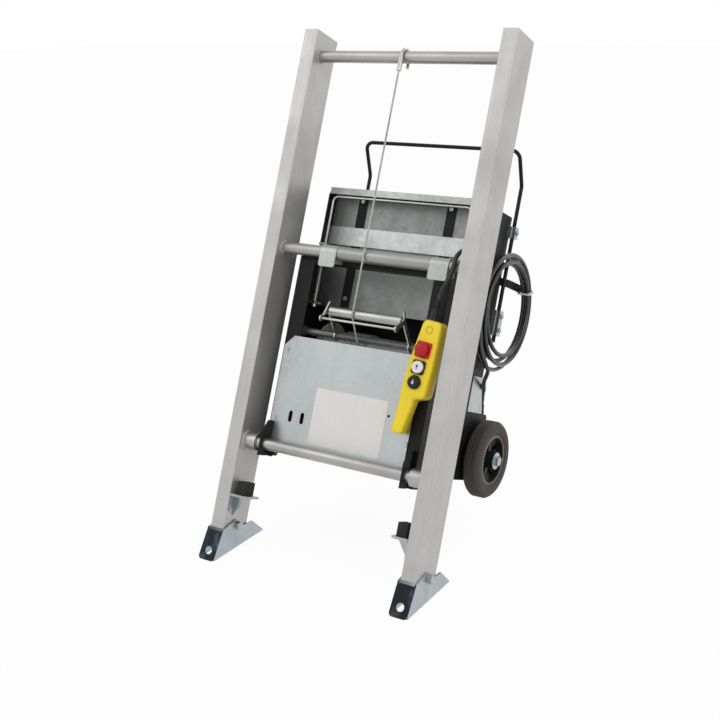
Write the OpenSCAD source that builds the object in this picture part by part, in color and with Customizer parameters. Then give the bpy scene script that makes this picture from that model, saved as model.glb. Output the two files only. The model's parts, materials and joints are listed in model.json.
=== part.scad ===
// Base section of an inclined material hoist: ladder rails with feet, and the winch unit that hangs on the rungs.
// Most pieces are drawn in the ladder's own frame: X across, Y back from the rails' front faces, Z up the rails.

/* [Ladder] */
// Width across the outer faces of the rails
ladder_w = 595; // [575:5:660]
// Width of a rail seen from the front
rail_w = 40; // [34:1:46]
// Depth of a rail from front to back
rail_d = 98; // [90:1:120]
// Wall of the hollow rails
rail_wall = 3; // [2:0.5:5]
// Length of the rails
rail_l = 1290; // [1270:10:1500]
// Rail length past the upper rung
rail_end = 60; // [45:5:200]
// Lean of the ladder from upright, in degrees
lean = 22.5; // [20:0.5:25]
// Diameter of a rung
rung_d = 30; // [28:1:32]
// Place of the lower rung along the rails
rung_z = 230; // [222:2:240]
// Spacing of the lower and the middle rung
rung_step = 500; // [490:2:510]
// Depth of the rung axes behind the rails' front faces
rung_y = 35; // [33:1:38]

/* [Feet] */
// Length of a foot on the ground
foot_l = 209; // [205:1:230]
// Height of a foot
foot_h = 75; // [72:1:80]
// Plate thickness of a foot
foot_t = 4; // [3:0.5:5]
// Height of the foot's pivot above the ground
foot_pivot_h = 57; // [55:1:60]
// Diameter of the foot's pivot bolt
foot_bolt_d = 12; // [8:1:14]
// Diameter of the fixing hole at the toe
toe_hole_d = 20; // [12:1:22]

/* [Stops] */
// Place of the stop brackets along the rails
stop_z = 86; // [80:1:110]
// Thickness of a stop bracket
stop_t = 6; // [4:1:8]
// Reach of a stop bracket from the rail
stop_reach = 48; // [44:1:54]
// Depth of a stop bracket from front to back
stop_d = 60; // [54:1:70]
// Width of a rubber pad
pad_w = 28; // [20:1:32]
// Height of a rubber pad
pad_h = 33; // [20:1:45]
// Depth of a rubber pad
pad_d = 40; // [34:1:46]

/* [Winch frame] */
// Gap between a rail and the side panel next to it
winch_gap = 40.5; // [39.5:0.5:43.5]
// Thickness of the side panels and uprights
panel_t = 3; // [2:0.5:4]
// Width of an upright's front flange
upright_w = 45; // [40:1:46]
// Depth of an upright's web
web_d = 74; // [72:1:76]
// Depth of the side panels
unit_d = 203; // [200:1:206]
// Reach of the side panels below the middle rung
panel_drop = 501; // [495:1:505]
// Reach of the side panels above the middle rung
panel_rise = 185; // [182:1:200]
// Thickness of the front cover
cover_t = 2; // [1:0.5:3]
// Depth of the rear housing
housing_d = 77; // [72:1:80]
// Height of the rear housing
housing_h = 175; // [165:1:178]
// Thickness of a rung hook
hook_t = 3; // [2:0.5:4]
// Thickness of a rung fork
fork_t = 6; // [4:1:8]

/* [Winch works] */
// Radius of the drum's barrel
barrel_r = 57.2; // [56:0.1:57.2]
// Radius of the drum's flanges
flange_r = 80; // [70:1:84]
// Thickness of a drum flange
flange_t = 4; // [3:0.5:6]
// Length of the drum
drum_l = 300; // [280:2:304]
// Diameter of the drum shaft
drum_shaft_d = 24; // [18:1:28]
// Diameter of the wire rope
rope_d = 5; // [4:0.5:5]
// Turns of rope on the drum
rope_turns = 14; // [6:1:14]
// Diameter of the cross shaft
cross_d = 18; // [14:1:20]
// Diameter of the guide roller
roller_d = 24; // [18:1:24]
// Length of the guide roller
roller_l = 204; // [180:2:206]
// Diameter of the limit bail's rod
bail_d = 6; // [4:0.5:7]
// Diameter of the motor
motor_d = 130; // [110:2:140]

/* [Transport] */
// Diameter of a tyre
tyre_d = 200; // [180:2:206]
// Width of a tyre
tyre_w = 46; // [38:1:50]
// Diameter of the axle
axle_d = 16; // [12:1:20]
// Diameter of the handle's rod
handle_d = 10; // [8:0.5:12]

/* [Control] */
// Width of the pendant
pendant_w = 65; // [60:1:66]
// Depth of the pendant
pendant_d = 50; // [44:1:52]
// Length of the pendant's body
pendant_l = 181; // [178:1:190]
// Diameter of the stop button
estop_d = 38; // [32:1:40]
// Diameter of the up and down buttons
button_d = 29; // [24:1:31]
// Diameter of the cable
cable_d = 11; // [9:0.5:11]

/* [Hidden] */
$fn = 48;

// Clearances: a running fit, a narrow gap between pieces, and the overrun of every cut
fit = 0.05;
gap = 0.3;
over = 1;

// Ladder
rail_round = 3;
rail_c = (ladder_w - rail_w) / 2;
rail_in = ladder_w / 2 - rail_w;
rung_r = rung_d / 2;
mid_z = rung_z + rung_step;
top_z = rail_l - rail_end;
sleeve_wall = 7;
sleeve_r = rung_r + sleeve_wall;
sleeve_l = 35;

// Feet: the pivot in the ladder's frame, then the foot's own outline from its toe
pivot_depth_share = 0.55;
pivot_y = rail_d * pivot_depth_share;
pivot_z = 10;
foot_pivot_share = 0.5;
foot_pivot_s = foot_l * foot_pivot_share;
foot_shares = [[0.02, 0], [0.225, 0.9], [0.48, 1], [0.62, 0.63], [0.79, 0.59], [1, 0]];
foot_slope = atan2(foot_shares[1].y * foot_h, foot_shares[1].x * foot_l);
toe_plate_l = 78;
toe_round = 10;
toe_hole_up = 25;
foot_side = gap + foot_t;
bolt_head_h = 8;
washer_t = 2;
head_share = 0.9;

// Place of the ladder in the part's frame
lift = foot_pivot_h + pivot_y * sin(lean) - pivot_z * cos(lean);
foot_front = pivot_y * cos(lean) + pivot_z * sin(lean) - foot_pivot_s;

// Stops
pad_y = 10;
stop_cut = 10;
stop_back_t = 4;
gusset_y = 25;
gusset_drop = 50;
stop_plate_y = 8;
stop_plate_d = 44;

// Winch frame
rung_play = 3;
half_w = rail_in - winch_gap;
in_w = half_w - panel_t;
frame_y = rung_y + rung_r + rung_play + hook_t;
panel_y = frame_y + web_d;
rear_y = panel_y + unit_d;
unit_low = mid_z - panel_drop;
unit_top = mid_z + panel_rise;
panel_round = 25;
upright_drop = 30;
upright_low = rung_z - upright_drop;
upright_rise = 5;
upright_top = mid_z + upright_rise;
upright_cut = 22;
flange_in = half_w - upright_w;
fork_inset = 15;
fork_x = half_w - fork_inset;
fork_front = 21;
fork_rise = 60;
fork_cut = 14;
hook_leg = 38;
hook_rear_leg = 25;
hook_in = 36;
hook_left = hook_in - flange_in;
hook_w = 47;
hook_overhang = 5;
hook_spans = [[hook_left, hook_left + hook_w], [flange_in, half_w + hook_overhang]];
hook_round = 6;
hook_rail_drop = 27;
hook_rail_low = mid_z - hook_rail_drop;
hook_rail_h = 35;
hook_rail_d = 34;

// Front cover
cover_inset = 3;
cover_left = cover_inset - half_w;
cover_lap = 12;
cover_right = flange_in + cover_lap;
cover_rise = 7;
cover_low = unit_low + cover_rise;
cover_h = 276;
cover_top = cover_low + cover_h;
cover_cut = 26;
slot_w = 11;
slot_l = 29;
slot_spacing = 35;
slot_in = 57;
slot_x = cover_left + slot_in;
slot_up = 74;
pin_hole_in = 64;
pin_hole_x = cover_right - pin_hole_in;
pin_hole_up = 122;
pin_hole_d = 7;
screw_d = 6;
screw_head_h = 3;
screw_edge = 10;
screw_up = 64;
screw_places = [
  [cover_left + screw_edge, cover_top - cover_cut - screw_edge],
  [cover_left + screw_edge, cover_low + screw_up],
  [cover_right - screw_edge / 2, cover_low + screw_up]
];

// Upper sheets: band, straps and inner panel lie one behind the other
lid_lip = 17;
lid_in = in_w - gap;
band_t = 2.5;
band_set = 30.5;
band_y = panel_y + band_set;
band_rise = 41;
band_low = mid_z + band_rise;
band_h = 48;
strap_y = band_y + band_t;
strap_t = 3;
strap_w = 25;
strap_in = 85;
strap_x = in_w - strap_in;
strap_drop = 120;
strap_low = mid_z - strap_drop;
strap_bolt_drop = 97;
strap_bolt_under = 25;
strap_bolt_ups = [mid_z - strap_bolt_drop, unit_top - strap_bolt_under];
inner_y = strap_y + strap_t;
inner_t = 2;
inner_drop = 124;
inner_low = mid_z - inner_drop;
inner_h = 294;

// Rear housing and terminal cover
housing_y = rear_y + housing_d;
housing_top = unit_low + housing_h;
housing_round = 12;
terminal_set = 59;
terminal_y = rear_y - terminal_set;
terminal_run = 87;
terminal_slant = 37;
terminal_h = 91;

// Drum and gearbox
drum_set = 114;
drum_y = frame_y + drum_set;
drum_drop = 242;
drum_z = mid_z - drum_drop;
drum_r = drum_shaft_d / 2;
drum_wall = 5;
drum_hub_wall = 12;
drum_hub_r = drum_r + drum_hub_wall;
drum_hub_l = 30;
gear_clear = 10;
gear_x = drum_l / 2 + gear_clear;
gear_bore_share = 0.11;
gear_bore = (in_w - gear_x) * gear_bore_share;
gear_set = 10;
gear_front = panel_y + gear_set;
gear_drop = 63;
gear_low = drum_z - gear_drop;
gear_low_h = 175;
gear_up_set = 48;
gear_up_y = panel_y + gear_up_set;
gear_up_h = 315;
gear_rear_gap = 2;
gear_rear = rear_y - panel_t - gear_rear_gap;
motor_set = 125;
motor_y = panel_y + motor_set;
motor_drop = 50;
motor_z = mid_z - motor_drop;
motor_flange_share = 0.8;
motor_rib = 4;
motor_ribs = 15;
bearing_wall = 18;
bearing_r = drum_r + bearing_wall;
bearing_share = 0.72;
bearing_l = (in_w - drum_l / 2) * bearing_share;
rope_gap = 0.6;
rope_pitch = rope_d + rope_gap;
rope_turn_r = barrel_r + gap + rope_d / 2;
winding_x = -95;
winding_start = 40;
rope_drum_x = winding_x + (rope_turns + 1) * rope_pitch;

// Slack-rope arm: places are measured from the cross shaft
cross_set = 28;
cross_y = frame_y + cross_set;
cross_drop = 200;
cross_z = mid_z - cross_drop;
cross_r = cross_d / 2;
collar_wall = 4;
collar_r = cross_r + collar_wall;
collar_l = 34;
roller_off = [-55, 55];
front_bar_off = [-86, 33];
roller_y = cross_y + roller_off.x;
roller_z = cross_z + roller_off.y;
roller_pin_r = 4;
front_bar_r = 3;
arm_t = 4;
arm_r = 8;
arm_half = 6;
boss_wall = 5;
arm_boss_r = cross_r + boss_wall;
arm_gap = 2;
arm_side = arm_t + arm_gap;
arm_place_share = 0.672;
roller_left = arm_side - flange_in + 2 * (flange_in - roller_l / 2 - arm_side) * arm_place_share;
arm_tip_off = [-62, 78];

// Limit bail
bail_inset = 17;
bail_x = half_w - bail_inset;
bail_r = bail_d / 2;
bail_bend = 14;
bail_under = 24;
bail_top = unit_top - bail_under;
bail_drop = 132;
bail_low = mid_z - bail_drop;
guide_t = 6;
guide_drop = 124;
guide_low = mid_z - guide_drop;
guide_rise = 30;
guide_up = mid_z + guide_rise;
guide_d = 18;
spring_l = 93;
spring_r = 6;
spring_wire = 1.8;
spring_curls = 16;
bail_collar_r = 8;
bail_collar_t = 4;

// Handle: half of its path, from the lower end up to the middle of the top bar
handle_out = 11;
handle_x = half_w + handle_out;
handle_r = handle_d / 2;
handle_set = 2;
handle_y = rear_y - handle_set;
handle_drop = 140;
handle_low = mid_z - handle_drop;
handle_kink_rise = 268;
handle_kink = mid_z + handle_kink_rise;
handle_rise = 347;
handle_top = mid_z + handle_rise;
handle_forward = 53;
handle_bend = 22;
bend_steps = 6;
clamp_half_y = 13;
clamp_out = 10;
clamp_drop = 123;
clamp_h = 65;
upper_clamp_rise = 130;
upper_clamp_h = 30;
clamp_spans = [[mid_z - clamp_drop, clamp_h], [mid_z + upper_clamp_rise, upper_clamp_h]];

// Wheels
axle_set = 52;
axle_y = rear_y + axle_set;
axle_rise = 63;
axle_z = unit_low + axle_rise;
axle_r = axle_d / 2;
wheel_gap = 5;
wheel_x = half_w + wheel_gap;
rim_r = 66;
rim_in_r = 57;
web_r = 61;
rim_lip = 5;
web_t = 10;
hub_r = 22;
hub_proud = 3;
spokes = 6;
spoke_w = 16;
tyre_round = 15;
groove_d = 3;
groove_w = 4;
groove_shares = [0.26, 0.5, 0.74];
nut_h = 9;
nut_r = 13;

// Coil arm: outline in plan
arm_rise = 7;
arm_z = mid_z + arm_rise;
arm_h = 20;
arm_bar = 4;
arm_set = 48;
arm_root = rear_y - arm_set;
arm_past = 6;
arm_step_y = rear_y + arm_past;
arm_out = 11;
arm_reach = 107;
arm_tip = rear_y + arm_reach;

// Cable: the coil, and routes of points chosen by hand, measured from the right side panel and the middle rung.
// The loops lie close where the coil is tied, and apart on the side across from it
cable_from = [half_w, 0, mid_z];
coil_out = 25;
coil_x = half_w + coil_out;
coil_layer = 12.5;
coil_y = 318;
coil_drop = 62;
coil_z = mid_z - coil_drop;
coil_r = 156;
coil_pitch = 12.5;
coil_spread = 16;
coil_tie = 31;
coil_turns = 4.18;
pendant_steps = [
  [-8, 28, -81], [-6.949, 28, -71], [-3.5, 26, -58], [6.5, 20.5, -41], [17.5, 14.5, -22], [21, 13, -2],
  [21, 16, 15], [21, 26, 29], [21, 40, 39], [21, 57, 42], [21.5, 73, 40], [22, 87, 35], [22.5, 102, 28],
  [23, 116, 21], [24, 135.5, 8.5], [25, 150, -8.5], [25, 159, -26], [25, 162, -40], [25, 162, -51]
];
lead_steps = [
  [37.5, 261.4, -208.1], [37.5, 270.4, -212.633], [35.5, 279, -218], [31, 287.5, -224.5],
  [24.5, 297.5, -232.5], [17, 309.5, -241.5], [10.5, 325, -252], [5, 342.5, -261.5], [-2.5, 359, -270.5],
  [-8.2, 371.5, -279], [-10.7, 378.5, -286], [-11, 380, -293], [-11, 380, -300]
];
pendant_route = [for (p = pendant_steps) cable_from + p];
lead_route = [for (p = lead_steps) cable_from + p];
lead_end = lead_route[len(lead_route) - 1];
gland_h = lead_end.z - housing_top;
gland_r = 9;
gland_nut_h = 9;

// Wire rope: the free stretch by hand, from the drum's last turn and the middle rung, then its wrap on the drum
hook_rod_r = 4;
hook_rod_turn_r = rung_r + gap + hook_rod_r;
rope_lead = 3;
rope_drop = 40;
rope_steps = [
  [3, 14.4, -70], [3, 14, -130], [3, 14, -145], [2.9, 15, -150], [2.7, 17.5, -154.5],
  [2, 38.8, -179.7], [1, 81.4, -230.2], [0, 123.6, -280.2]
];
rope_route = [
  [rope_drum_x + rope_lead, rung_y - hook_rod_turn_r, top_z - rope_drop],
  for (p = rope_steps) [rope_drum_x, 0, mid_z] + p
];
wrap_from = 228;
wrap_step = 12;
wrap_steps = 8;
wrap_r = rope_turn_r + gap;
ferrule_r = 6;
ferrule_l = 34;
hook_tail = 22;

// Pendant: its own frame hangs from the boot, X across, Y back, Z up its length
pendant_tilt = 6;
boot_l = 52;
boot_side = 11;
boot_r = 13;
boot_neck_r = 7.5;
boot_ribs = 3;
boot_rib_step = 7;
boot_axis = [sin(pendant_tilt), 0, cos(pendant_tilt)];
boot_across = [cos(pendant_tilt), 0, -sin(pendant_tilt)];
pendant_top = pendant_route[0] - boot_l * boot_axis + boot_side * boot_across;
pendant_round = 9;
pendant_waist_share = 0.7;
pendant_belly_share = 0.62;
pendant_cut = 30;
grip_l = 276;
grip_w = 36;
grip_root_share = 0.86;
grip_tip_share = 0.78;
grip_depth_share = 0.72;
ring_down = 23;
ring_r = 9;
ring_t = 1;
estop_down = 71;
up_down = 113;
down_down = 149;
plate_h = 6;
plate_round = 5;
estop_plate = 44;
press = 4;
button_proud = 5;
estop_stem_r = 9;
estop_head_h = 11;
estop_lift = 10;

// Rear edge of the handle, from its path, and the shift that puts the origin midway from the toes to that edge
handle_path = bent_path([
  [handle_x, handle_y, handle_low],
  [handle_x, handle_y, handle_kink],
  [handle_x, handle_y - handle_forward, handle_top],
  [-handle_x, handle_y - handle_forward, handle_top],
  [-handle_x, handle_y, handle_kink],
  [-handle_x, handle_y, handle_low]
], handle_bend);
rear_edge = max([for (p = handle_path) p.y * cos(lean) + p.z * sin(lean)]) + handle_r;
origin_y = (foot_front + rear_edge) / 2;

// Paths
function unit(v) = v / norm(v);
function along(p, i) = unit(p[min(i + 1, len(p) - 1)] - p[max(i - 1, 0)]);
function square_to(v, t) = unit(v - (v * t) * t);
function cross_dirs(p, seed) = [
  for (i = 0, u = square_to(seed, along(p, 0)); i < len(p);
    i = i + 1, u = square_to(u, along(p, min(i, len(p) - 1)))) u
];

// Rounds each inner corner of a path with an arc of the given radius
function corner(a, b, c, r) =
  let (
    u = unit(a - b),
    w = unit(c - b),
    half = acos(u * w) / 2,
    middle = b + unit(u + w) * r / sin(half),
    start = b + u * r / tan(half),
    sweep = 180 - 2 * half,
    e = unit(start - middle),
    f = square_to(-u, e)
  )
  [for (i = [0 : bend_steps]) middle + r * (cos(sweep * i / bend_steps) * e + sin(sweep * i / bend_steps) * f)];
function bent_path(p, r) = [
  p[0],
  for (i = [1 : len(p) - 2]) each corner(p[i - 1], p[i], p[i + 1], r),
  p[len(p) - 1]
];

// Smallest distance between strands of one wound tube, less its diameter, for points a good part of a turn apart
function self_gap(p, skip, d) =
  min([for (i = [0 : len(p) - 1 - skip]) min([for (j = [i + skip : len(p) - 1]) norm(p[i] - p[j])])]) - d;

// One unbroken tube along a path
module tube(p, d, sides, seed) {
  dirs = cross_dirs(p, seed);
  last = len(p) - 1;
  points = [
    for (i = [0 : last])
      let (u = dirs[i], w = cross(along(p, i), u))
      for (j = [0 : sides - 1]) p[i] + d / 2 * (cos(360 * j / sides) * u + sin(360 * j / sides) * w)
  ];
  walls = [
    for (i = [0 : last - 1]) for (j = [0 : sides - 1])
      let (a = i * sides + j, b = i * sides + (j + 1) % sides)
      each [[a, a + sides, b + sides], [a, b + sides, b]]
  ];
  caps = [
    for (j = [1 : sides - 2])
      each [[0, j, j + 1], [last * sides, last * sides + j + 1, last * sides + j]]
  ];
  polyhedron(points, concat(walls, caps));
}

// Frames and shared shapes
module ladder() translate([0, -origin_y, lift]) rotate([-lean, 0, 0]) children();
module both_sides() {
  children();
  mirror([1, 0, 0]) children();
}
module plate_xz(y, t) translate([0, y + t, 0]) rotate([90, 0, 0]) linear_extrude(t) children();
module plate_yz(x, t) translate([x, 0, 0]) rotate([90, 0, 90]) linear_extrude(t) children();
module plate_xy(z, t) translate([0, 0, z]) linear_extrude(t) children();
module bar_x(x0, x1, y, z, r) translate([x0, y, z]) rotate([0, 90, 0]) cylinder(h = x1 - x0, r = r);
module bar_y(y0, y1, x, z, r) translate([x, y0, z]) rotate([-90, 0, 0]) cylinder(h = y1 - y0, r = r);
module bar_z(z0, z1, x, y, r) translate([x, y, z0]) cylinder(h = z1 - z0, r = r);
module hex_x(x0, x1, y, z, r) translate([x0, y, z]) rotate([0, 90, 0]) cylinder(h = x1 - x0, r = r, $fn = 6);
module box(low, high) translate(low) cube(high - low);
module rect(low, high) translate(low) square(high - low);
module round_rect(low, high, r) {
  rect([low.x + r, low.y], [high.x - r, high.y]);
  rect([low.x, low.y + r], [high.x, high.y - r]);
  for (x = [low.x + r, high.x - r], y = [low.y + r, high.y - r]) translate([x, y]) circle(r);
}
// Bar between two points of a plane, and the same with round ends
module strut(p, q, r) {
  d = q - p;
  translate(p) rotate(atan2(d.y, d.x)) rect([0, -r], [norm(d), r]);
}
module link(p, q, r) {
  strut(p, q, r);
  translate(p) circle(r);
  translate(q) circle(r);
}

// Ladder pieces
module rail(side) color("silver") ladder() difference() {
  linear_extrude(rail_l) difference() {
    round_rect([side * rail_c - rail_w / 2, 0], [side * rail_c + rail_w / 2, rail_d], rail_round);
    rect(
      [side * rail_c - rail_w / 2 + rail_wall, rail_wall],
      [side * rail_c + rail_w / 2 - rail_wall, rail_d - rail_wall]
    );
  }
  bar_x(side * rail_c - rail_w, side * rail_c + rail_w, pivot_y, pivot_z, foot_bolt_d / 2 + fit);
}
module rail_left() rail(-1);
module rail_right() rail(1);

module rung(z) bar_x(-rail_in, rail_in, rung_y, z, rung_r);
module lower_rung() color("silver") ladder() {
  rung(rung_z);
  both_sides() bar_x(rail_in - sleeve_l, rail_in, rung_y, rung_z, sleeve_r);
}
module middle_rung() color("silver") ladder() rung(mid_z);
module upper_rung() color("silver") ladder() rung(top_z);

module stop_brackets() color("gainsboro") ladder() both_sides() {
  difference() {
    plate_xy(stop_z, stop_t) difference() {
      rect([rail_in - stop_reach, 0], [rail_in, stop_d]);
      polygon([
        [rail_in - stop_reach - over, -over],
        [rail_in - stop_reach + stop_cut, -over],
        [rail_in - stop_reach - over, stop_cut]
      ]);
    }
    bar_z(stop_z - over, stop_z + stop_t + over, stop_pad_x(), stop_bolt_y(), screw_d / 2 + fit);
  }
  plate_xz(gusset_y, stop_t) polygon([
    [rail_in, stop_z - gusset_drop],
    [rail_in, stop_z],
    [rail_in - stop_reach + stop_cut, stop_z]
  ]);
  plate_yz(rail_in - stop_back_t, stop_back_t)
    rect([stop_plate_y, stop_z - gusset_drop + stop_cut], [stop_plate_y + stop_plate_d, stop_z]);
}
function stop_pad_x() = rail_in - stop_reach / 2;
function stop_bolt_y() = gusset_y + stop_t + screw_d + washer_t;
module stop_pads() color([0.2, 0.2, 0.2]) ladder() both_sides()
  plate_xy(stop_z + stop_t, pad_h) difference() {
    round_rect([stop_pad_x() - pad_w / 2, pad_y], [stop_pad_x() + pad_w / 2, pad_y + pad_d], rail_round);
    translate([stop_pad_x(), stop_bolt_y()]) circle(screw_d / 2 + fit);
  }
module stop_bolts() color("gainsboro") ladder() both_sides() {
  translate([stop_pad_x(), stop_bolt_y(), stop_z - screw_d]) cylinder(h = screw_d, r = screw_d, $fn = 6);
  bar_z(stop_z - screw_d / 2, stop_z + stop_t + pad_h - screw_d, stop_pad_x(), stop_bolt_y(), screw_d / 2);
}

// Feet stand in the part's own frame
module foot(side) color("gainsboro") translate([0, foot_front - origin_y, 0]) difference() {
  union() {
    for (x = [side * rail_c - rail_w / 2 - foot_side, side * rail_c + rail_w / 2 + gap])
      plate_yz(x, foot_t) polygon([for (p = foot_shares) [p.x * foot_l, p.y * foot_h]]);
    intersection() {
      translate([side * rail_c, 0, 0]) rotate([foot_slope, 0, 0]) translate([0, 0, -foot_t]) linear_extrude(foot_t)
        difference() {
          round_rect([-rail_w / 2 - foot_side, 0], [rail_w / 2 + foot_side, toe_plate_l], toe_round);
          translate([0, toe_hole_up]) circle(toe_hole_d / 2);
        }
      box([side * rail_c - rail_w, -rail_w, 0], [side * rail_c + rail_w, foot_l, foot_h]);
    }
  }
  bar_x(side * rail_c - rail_w, side * rail_c + rail_w, foot_pivot_s, foot_pivot_h, foot_bolt_d / 2 + fit);
}
module foot_left() foot(-1);
module foot_right() foot(1);
module foot_bolts() color("gainsboro") ladder() both_sides() {
  out = rail_c + rail_w / 2 + foot_side;
  inner = rail_c - rail_w / 2 - foot_side;
  bar_x(inner - gap - bolt_head_h, out + gap + washer_t, pivot_y, pivot_z, foot_bolt_d / 2);
  bar_x(out + gap, out + gap + washer_t, pivot_y, pivot_z, foot_bolt_d);
  hex_x(out + gap + washer_t, out + gap + washer_t + bolt_head_h, pivot_y, pivot_z, foot_bolt_d * head_share);
  hex_x(inner - gap - bolt_head_h, inner - gap, pivot_y, pivot_z, foot_bolt_d * head_share);
}

// Winch frame
module upright(side) color([0.13, 0.13, 0.13]) ladder() mirror([side < 0 ? 1 : 0, 0, 0]) difference() {
  union() {
    plate_xz(frame_y, panel_t) polygon([
      [flange_in + upright_cut, upright_low],
      [half_w, upright_low],
      [half_w, upright_top],
      [flange_in, upright_top],
      [flange_in, upright_low + upright_cut]
    ]);
    plate_yz(in_w, panel_t) polygon([
      [frame_y, upright_low],
      [panel_y - upright_cut, upright_low],
      [panel_y, upright_low + upright_cut],
      [panel_y, upright_top],
      [frame_y, upright_top]
    ]);
  }
  for (p = screw_places) if (p.x * side > 0) screw_hole(side * p.x, p.y);
}
module screw_hole(x, z) bar_y(frame_y - cover_t - over, frame_y + panel_t + over, x, z, screw_d / 2 + fit);
module upright_left() upright(-1);
module upright_right() upright(1);

module rung_forks() color([0.13, 0.13, 0.13]) ladder() both_sides() plate_yz(fork_x, fork_t) difference() {
  polygon([
    [rung_y - fork_front, upright_low],
    [frame_y - fork_cut, upright_low],
    [frame_y, upright_low + fork_cut],
    [frame_y, rung_z + fork_rise],
    [rung_y, rung_z + fork_rise],
    [rung_y - fork_front, rung_z + rung_r + fork_cut]
  ]);
  link([rung_y, rung_z], [-rung_y, rung_z], rung_r + gap);
}

module hook_rail() color([0.13, 0.13, 0.13]) ladder() {
  box([-flange_in, frame_y, hook_rail_low], [flange_in, frame_y + panel_t, hook_rail_low + hook_rail_h]);
  box([-flange_in, frame_y, hook_rail_low], [flange_in, frame_y + hook_rail_d, hook_rail_low + panel_t]);
}

// Each hook bends over the rung, with one leg in front and one on the frame behind
module rung_hooks() color("gainsboro") ladder() {
  inner = rung_r + gap;
  outer = inner + hook_t;
  for (s = hook_spans) {
    plate_yz(s[0], s[1] - s[0]) {
      intersection() {
        translate([rung_y, mid_z]) difference() {
          circle(outer);
          circle(inner);
        }
        rect([rung_y - outer, mid_z], [rung_y, mid_z + outer]);
      }
      rect([rung_y, mid_z + inner], [frame_y, mid_z + outer]);
      rect([frame_y - hook_t, mid_z - hook_rear_leg], [frame_y, mid_z + outer]);
    }
    plate_xz(rung_y - outer, hook_t) {
      round_rect([s[0], mid_z - hook_leg], [s[1], mid_z], hook_round);
      rect([s[0], mid_z - hook_leg / 2], [s[1], mid_z]);
    }
  }
}

module front_cover() color("lightgray") ladder() difference() {
  plate_xz(frame_y - cover_t, cover_t) difference() {
    polygon([
      [cover_left, cover_low],
      [cover_right, cover_low],
      [cover_right, cover_top],
      [cover_left + cover_cut, cover_top],
      [cover_left, cover_top - cover_cut]
    ]);
    rect([cover_left - over, cover_low - over], [-fork_x + gap, rung_z + fork_rise + gap]);
    for (x = [slot_x, slot_x + slot_spacing]) {
      z = cover_low + slot_up;
      link([x, z - (slot_l - slot_w) / 2], [x, z + (slot_l - slot_w) / 2], slot_w / 2);
    }
    translate([pin_hole_x, cover_low + pin_hole_up]) circle(pin_hole_d / 2);
  }
  for (p = screw_places) screw_hole(p.x, p.y);
}

module panel_bolts() color("gainsboro") ladder() {
  for (p = screw_places) {
    face = frame_y - cover_t;
    bar_y(face - screw_head_h, face, p.x, p.y, screw_d);
    bar_y(face - screw_head_h, frame_y + panel_t, p.x, p.y, screw_d / 2);
  }
  both_sides() for (z = strap_bolt_ups) {
    bar_y(strap_y - screw_head_h, strap_y, strap_x, z, screw_d);
    bar_y(strap_y - screw_head_h, inner_y, strap_x, z, screw_d / 2);
  }
}

module side_panel(side) color([0.13, 0.13, 0.13]) ladder() mirror([side < 0 ? 1 : 0, 0, 0])
  plate_yz(in_w, panel_t) {
    rect([panel_y, unit_low], [rear_y, unit_top - panel_round]);
    rect([panel_y + panel_round, unit_top - panel_round], [rear_y, unit_top]);
    intersection() {
      translate([panel_y + panel_round, unit_top - panel_round]) circle(panel_round);
      rect([panel_y, unit_top - panel_round], [panel_y + panel_round, unit_top]);
    }
  }
module side_panel_left() side_panel(-1);
module side_panel_right() side_panel(1);

module lid() color("lightgray") ladder() {
  lip_low = unit_top - lid_lip;
  box([-lid_in, panel_y, unit_top - panel_t], [lid_in, rear_y, unit_top]);
  for (y = [panel_y, rear_y - panel_t]) box([-lid_in, y, lip_low], [lid_in, y + panel_t, unit_top]);
}
module rear_panel() color([0.13, 0.13, 0.13]) ladder()
  box([-lid_in, rear_y - panel_t, unit_low], [lid_in, rear_y, unit_top - lid_lip]);
module inner_panel() color("gray") ladder()
  box([-lid_in, inner_y, inner_low], [lid_in, inner_y + inner_t, inner_low + inner_h]);
module cross_band() color("lightgray") ladder()
  box([-lid_in, band_y, band_low], [lid_in, band_y + band_t, band_low + band_h]);
module lid_straps() color([0.13, 0.13, 0.13]) ladder() both_sides() difference() {
  box(
    [strap_x - strap_w / 2, strap_y, strap_low],
    [strap_x + strap_w / 2, strap_y + strap_t, unit_top - panel_t - gap]
  );
  for (z = strap_bolt_ups) bar_y(strap_y - over, inner_y + over, strap_x, z, screw_d / 2 + fit);
}

// Tray that closes the lower back of the unit and carries the axle
module rear_housing() color([0.13, 0.13, 0.13]) ladder() difference() {
  plate_yz(-in_w, 2 * in_w) intersection() {
    round_rect([rear_y - housing_round, unit_low], [housing_y, housing_top], housing_round);
    rect([rear_y, unit_low], [housing_y, housing_top]);
  }
  box(
    [-in_w + panel_t, rear_y - over, unit_low + panel_t],
    [in_w - panel_t, housing_y - panel_t, housing_top - panel_t]
  );
  bar_x(-half_w, half_w, axle_y, axle_z, axle_r + fit);
}
module terminal_cover() color("lightgray") ladder() plate_yz(half_w, panel_t) polygon([
  [terminal_y, housing_top],
  [terminal_y + terminal_run, housing_top],
  [terminal_y + terminal_run - terminal_slant, housing_top + terminal_h],
  [terminal_y, housing_top + terminal_h]
]);

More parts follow.
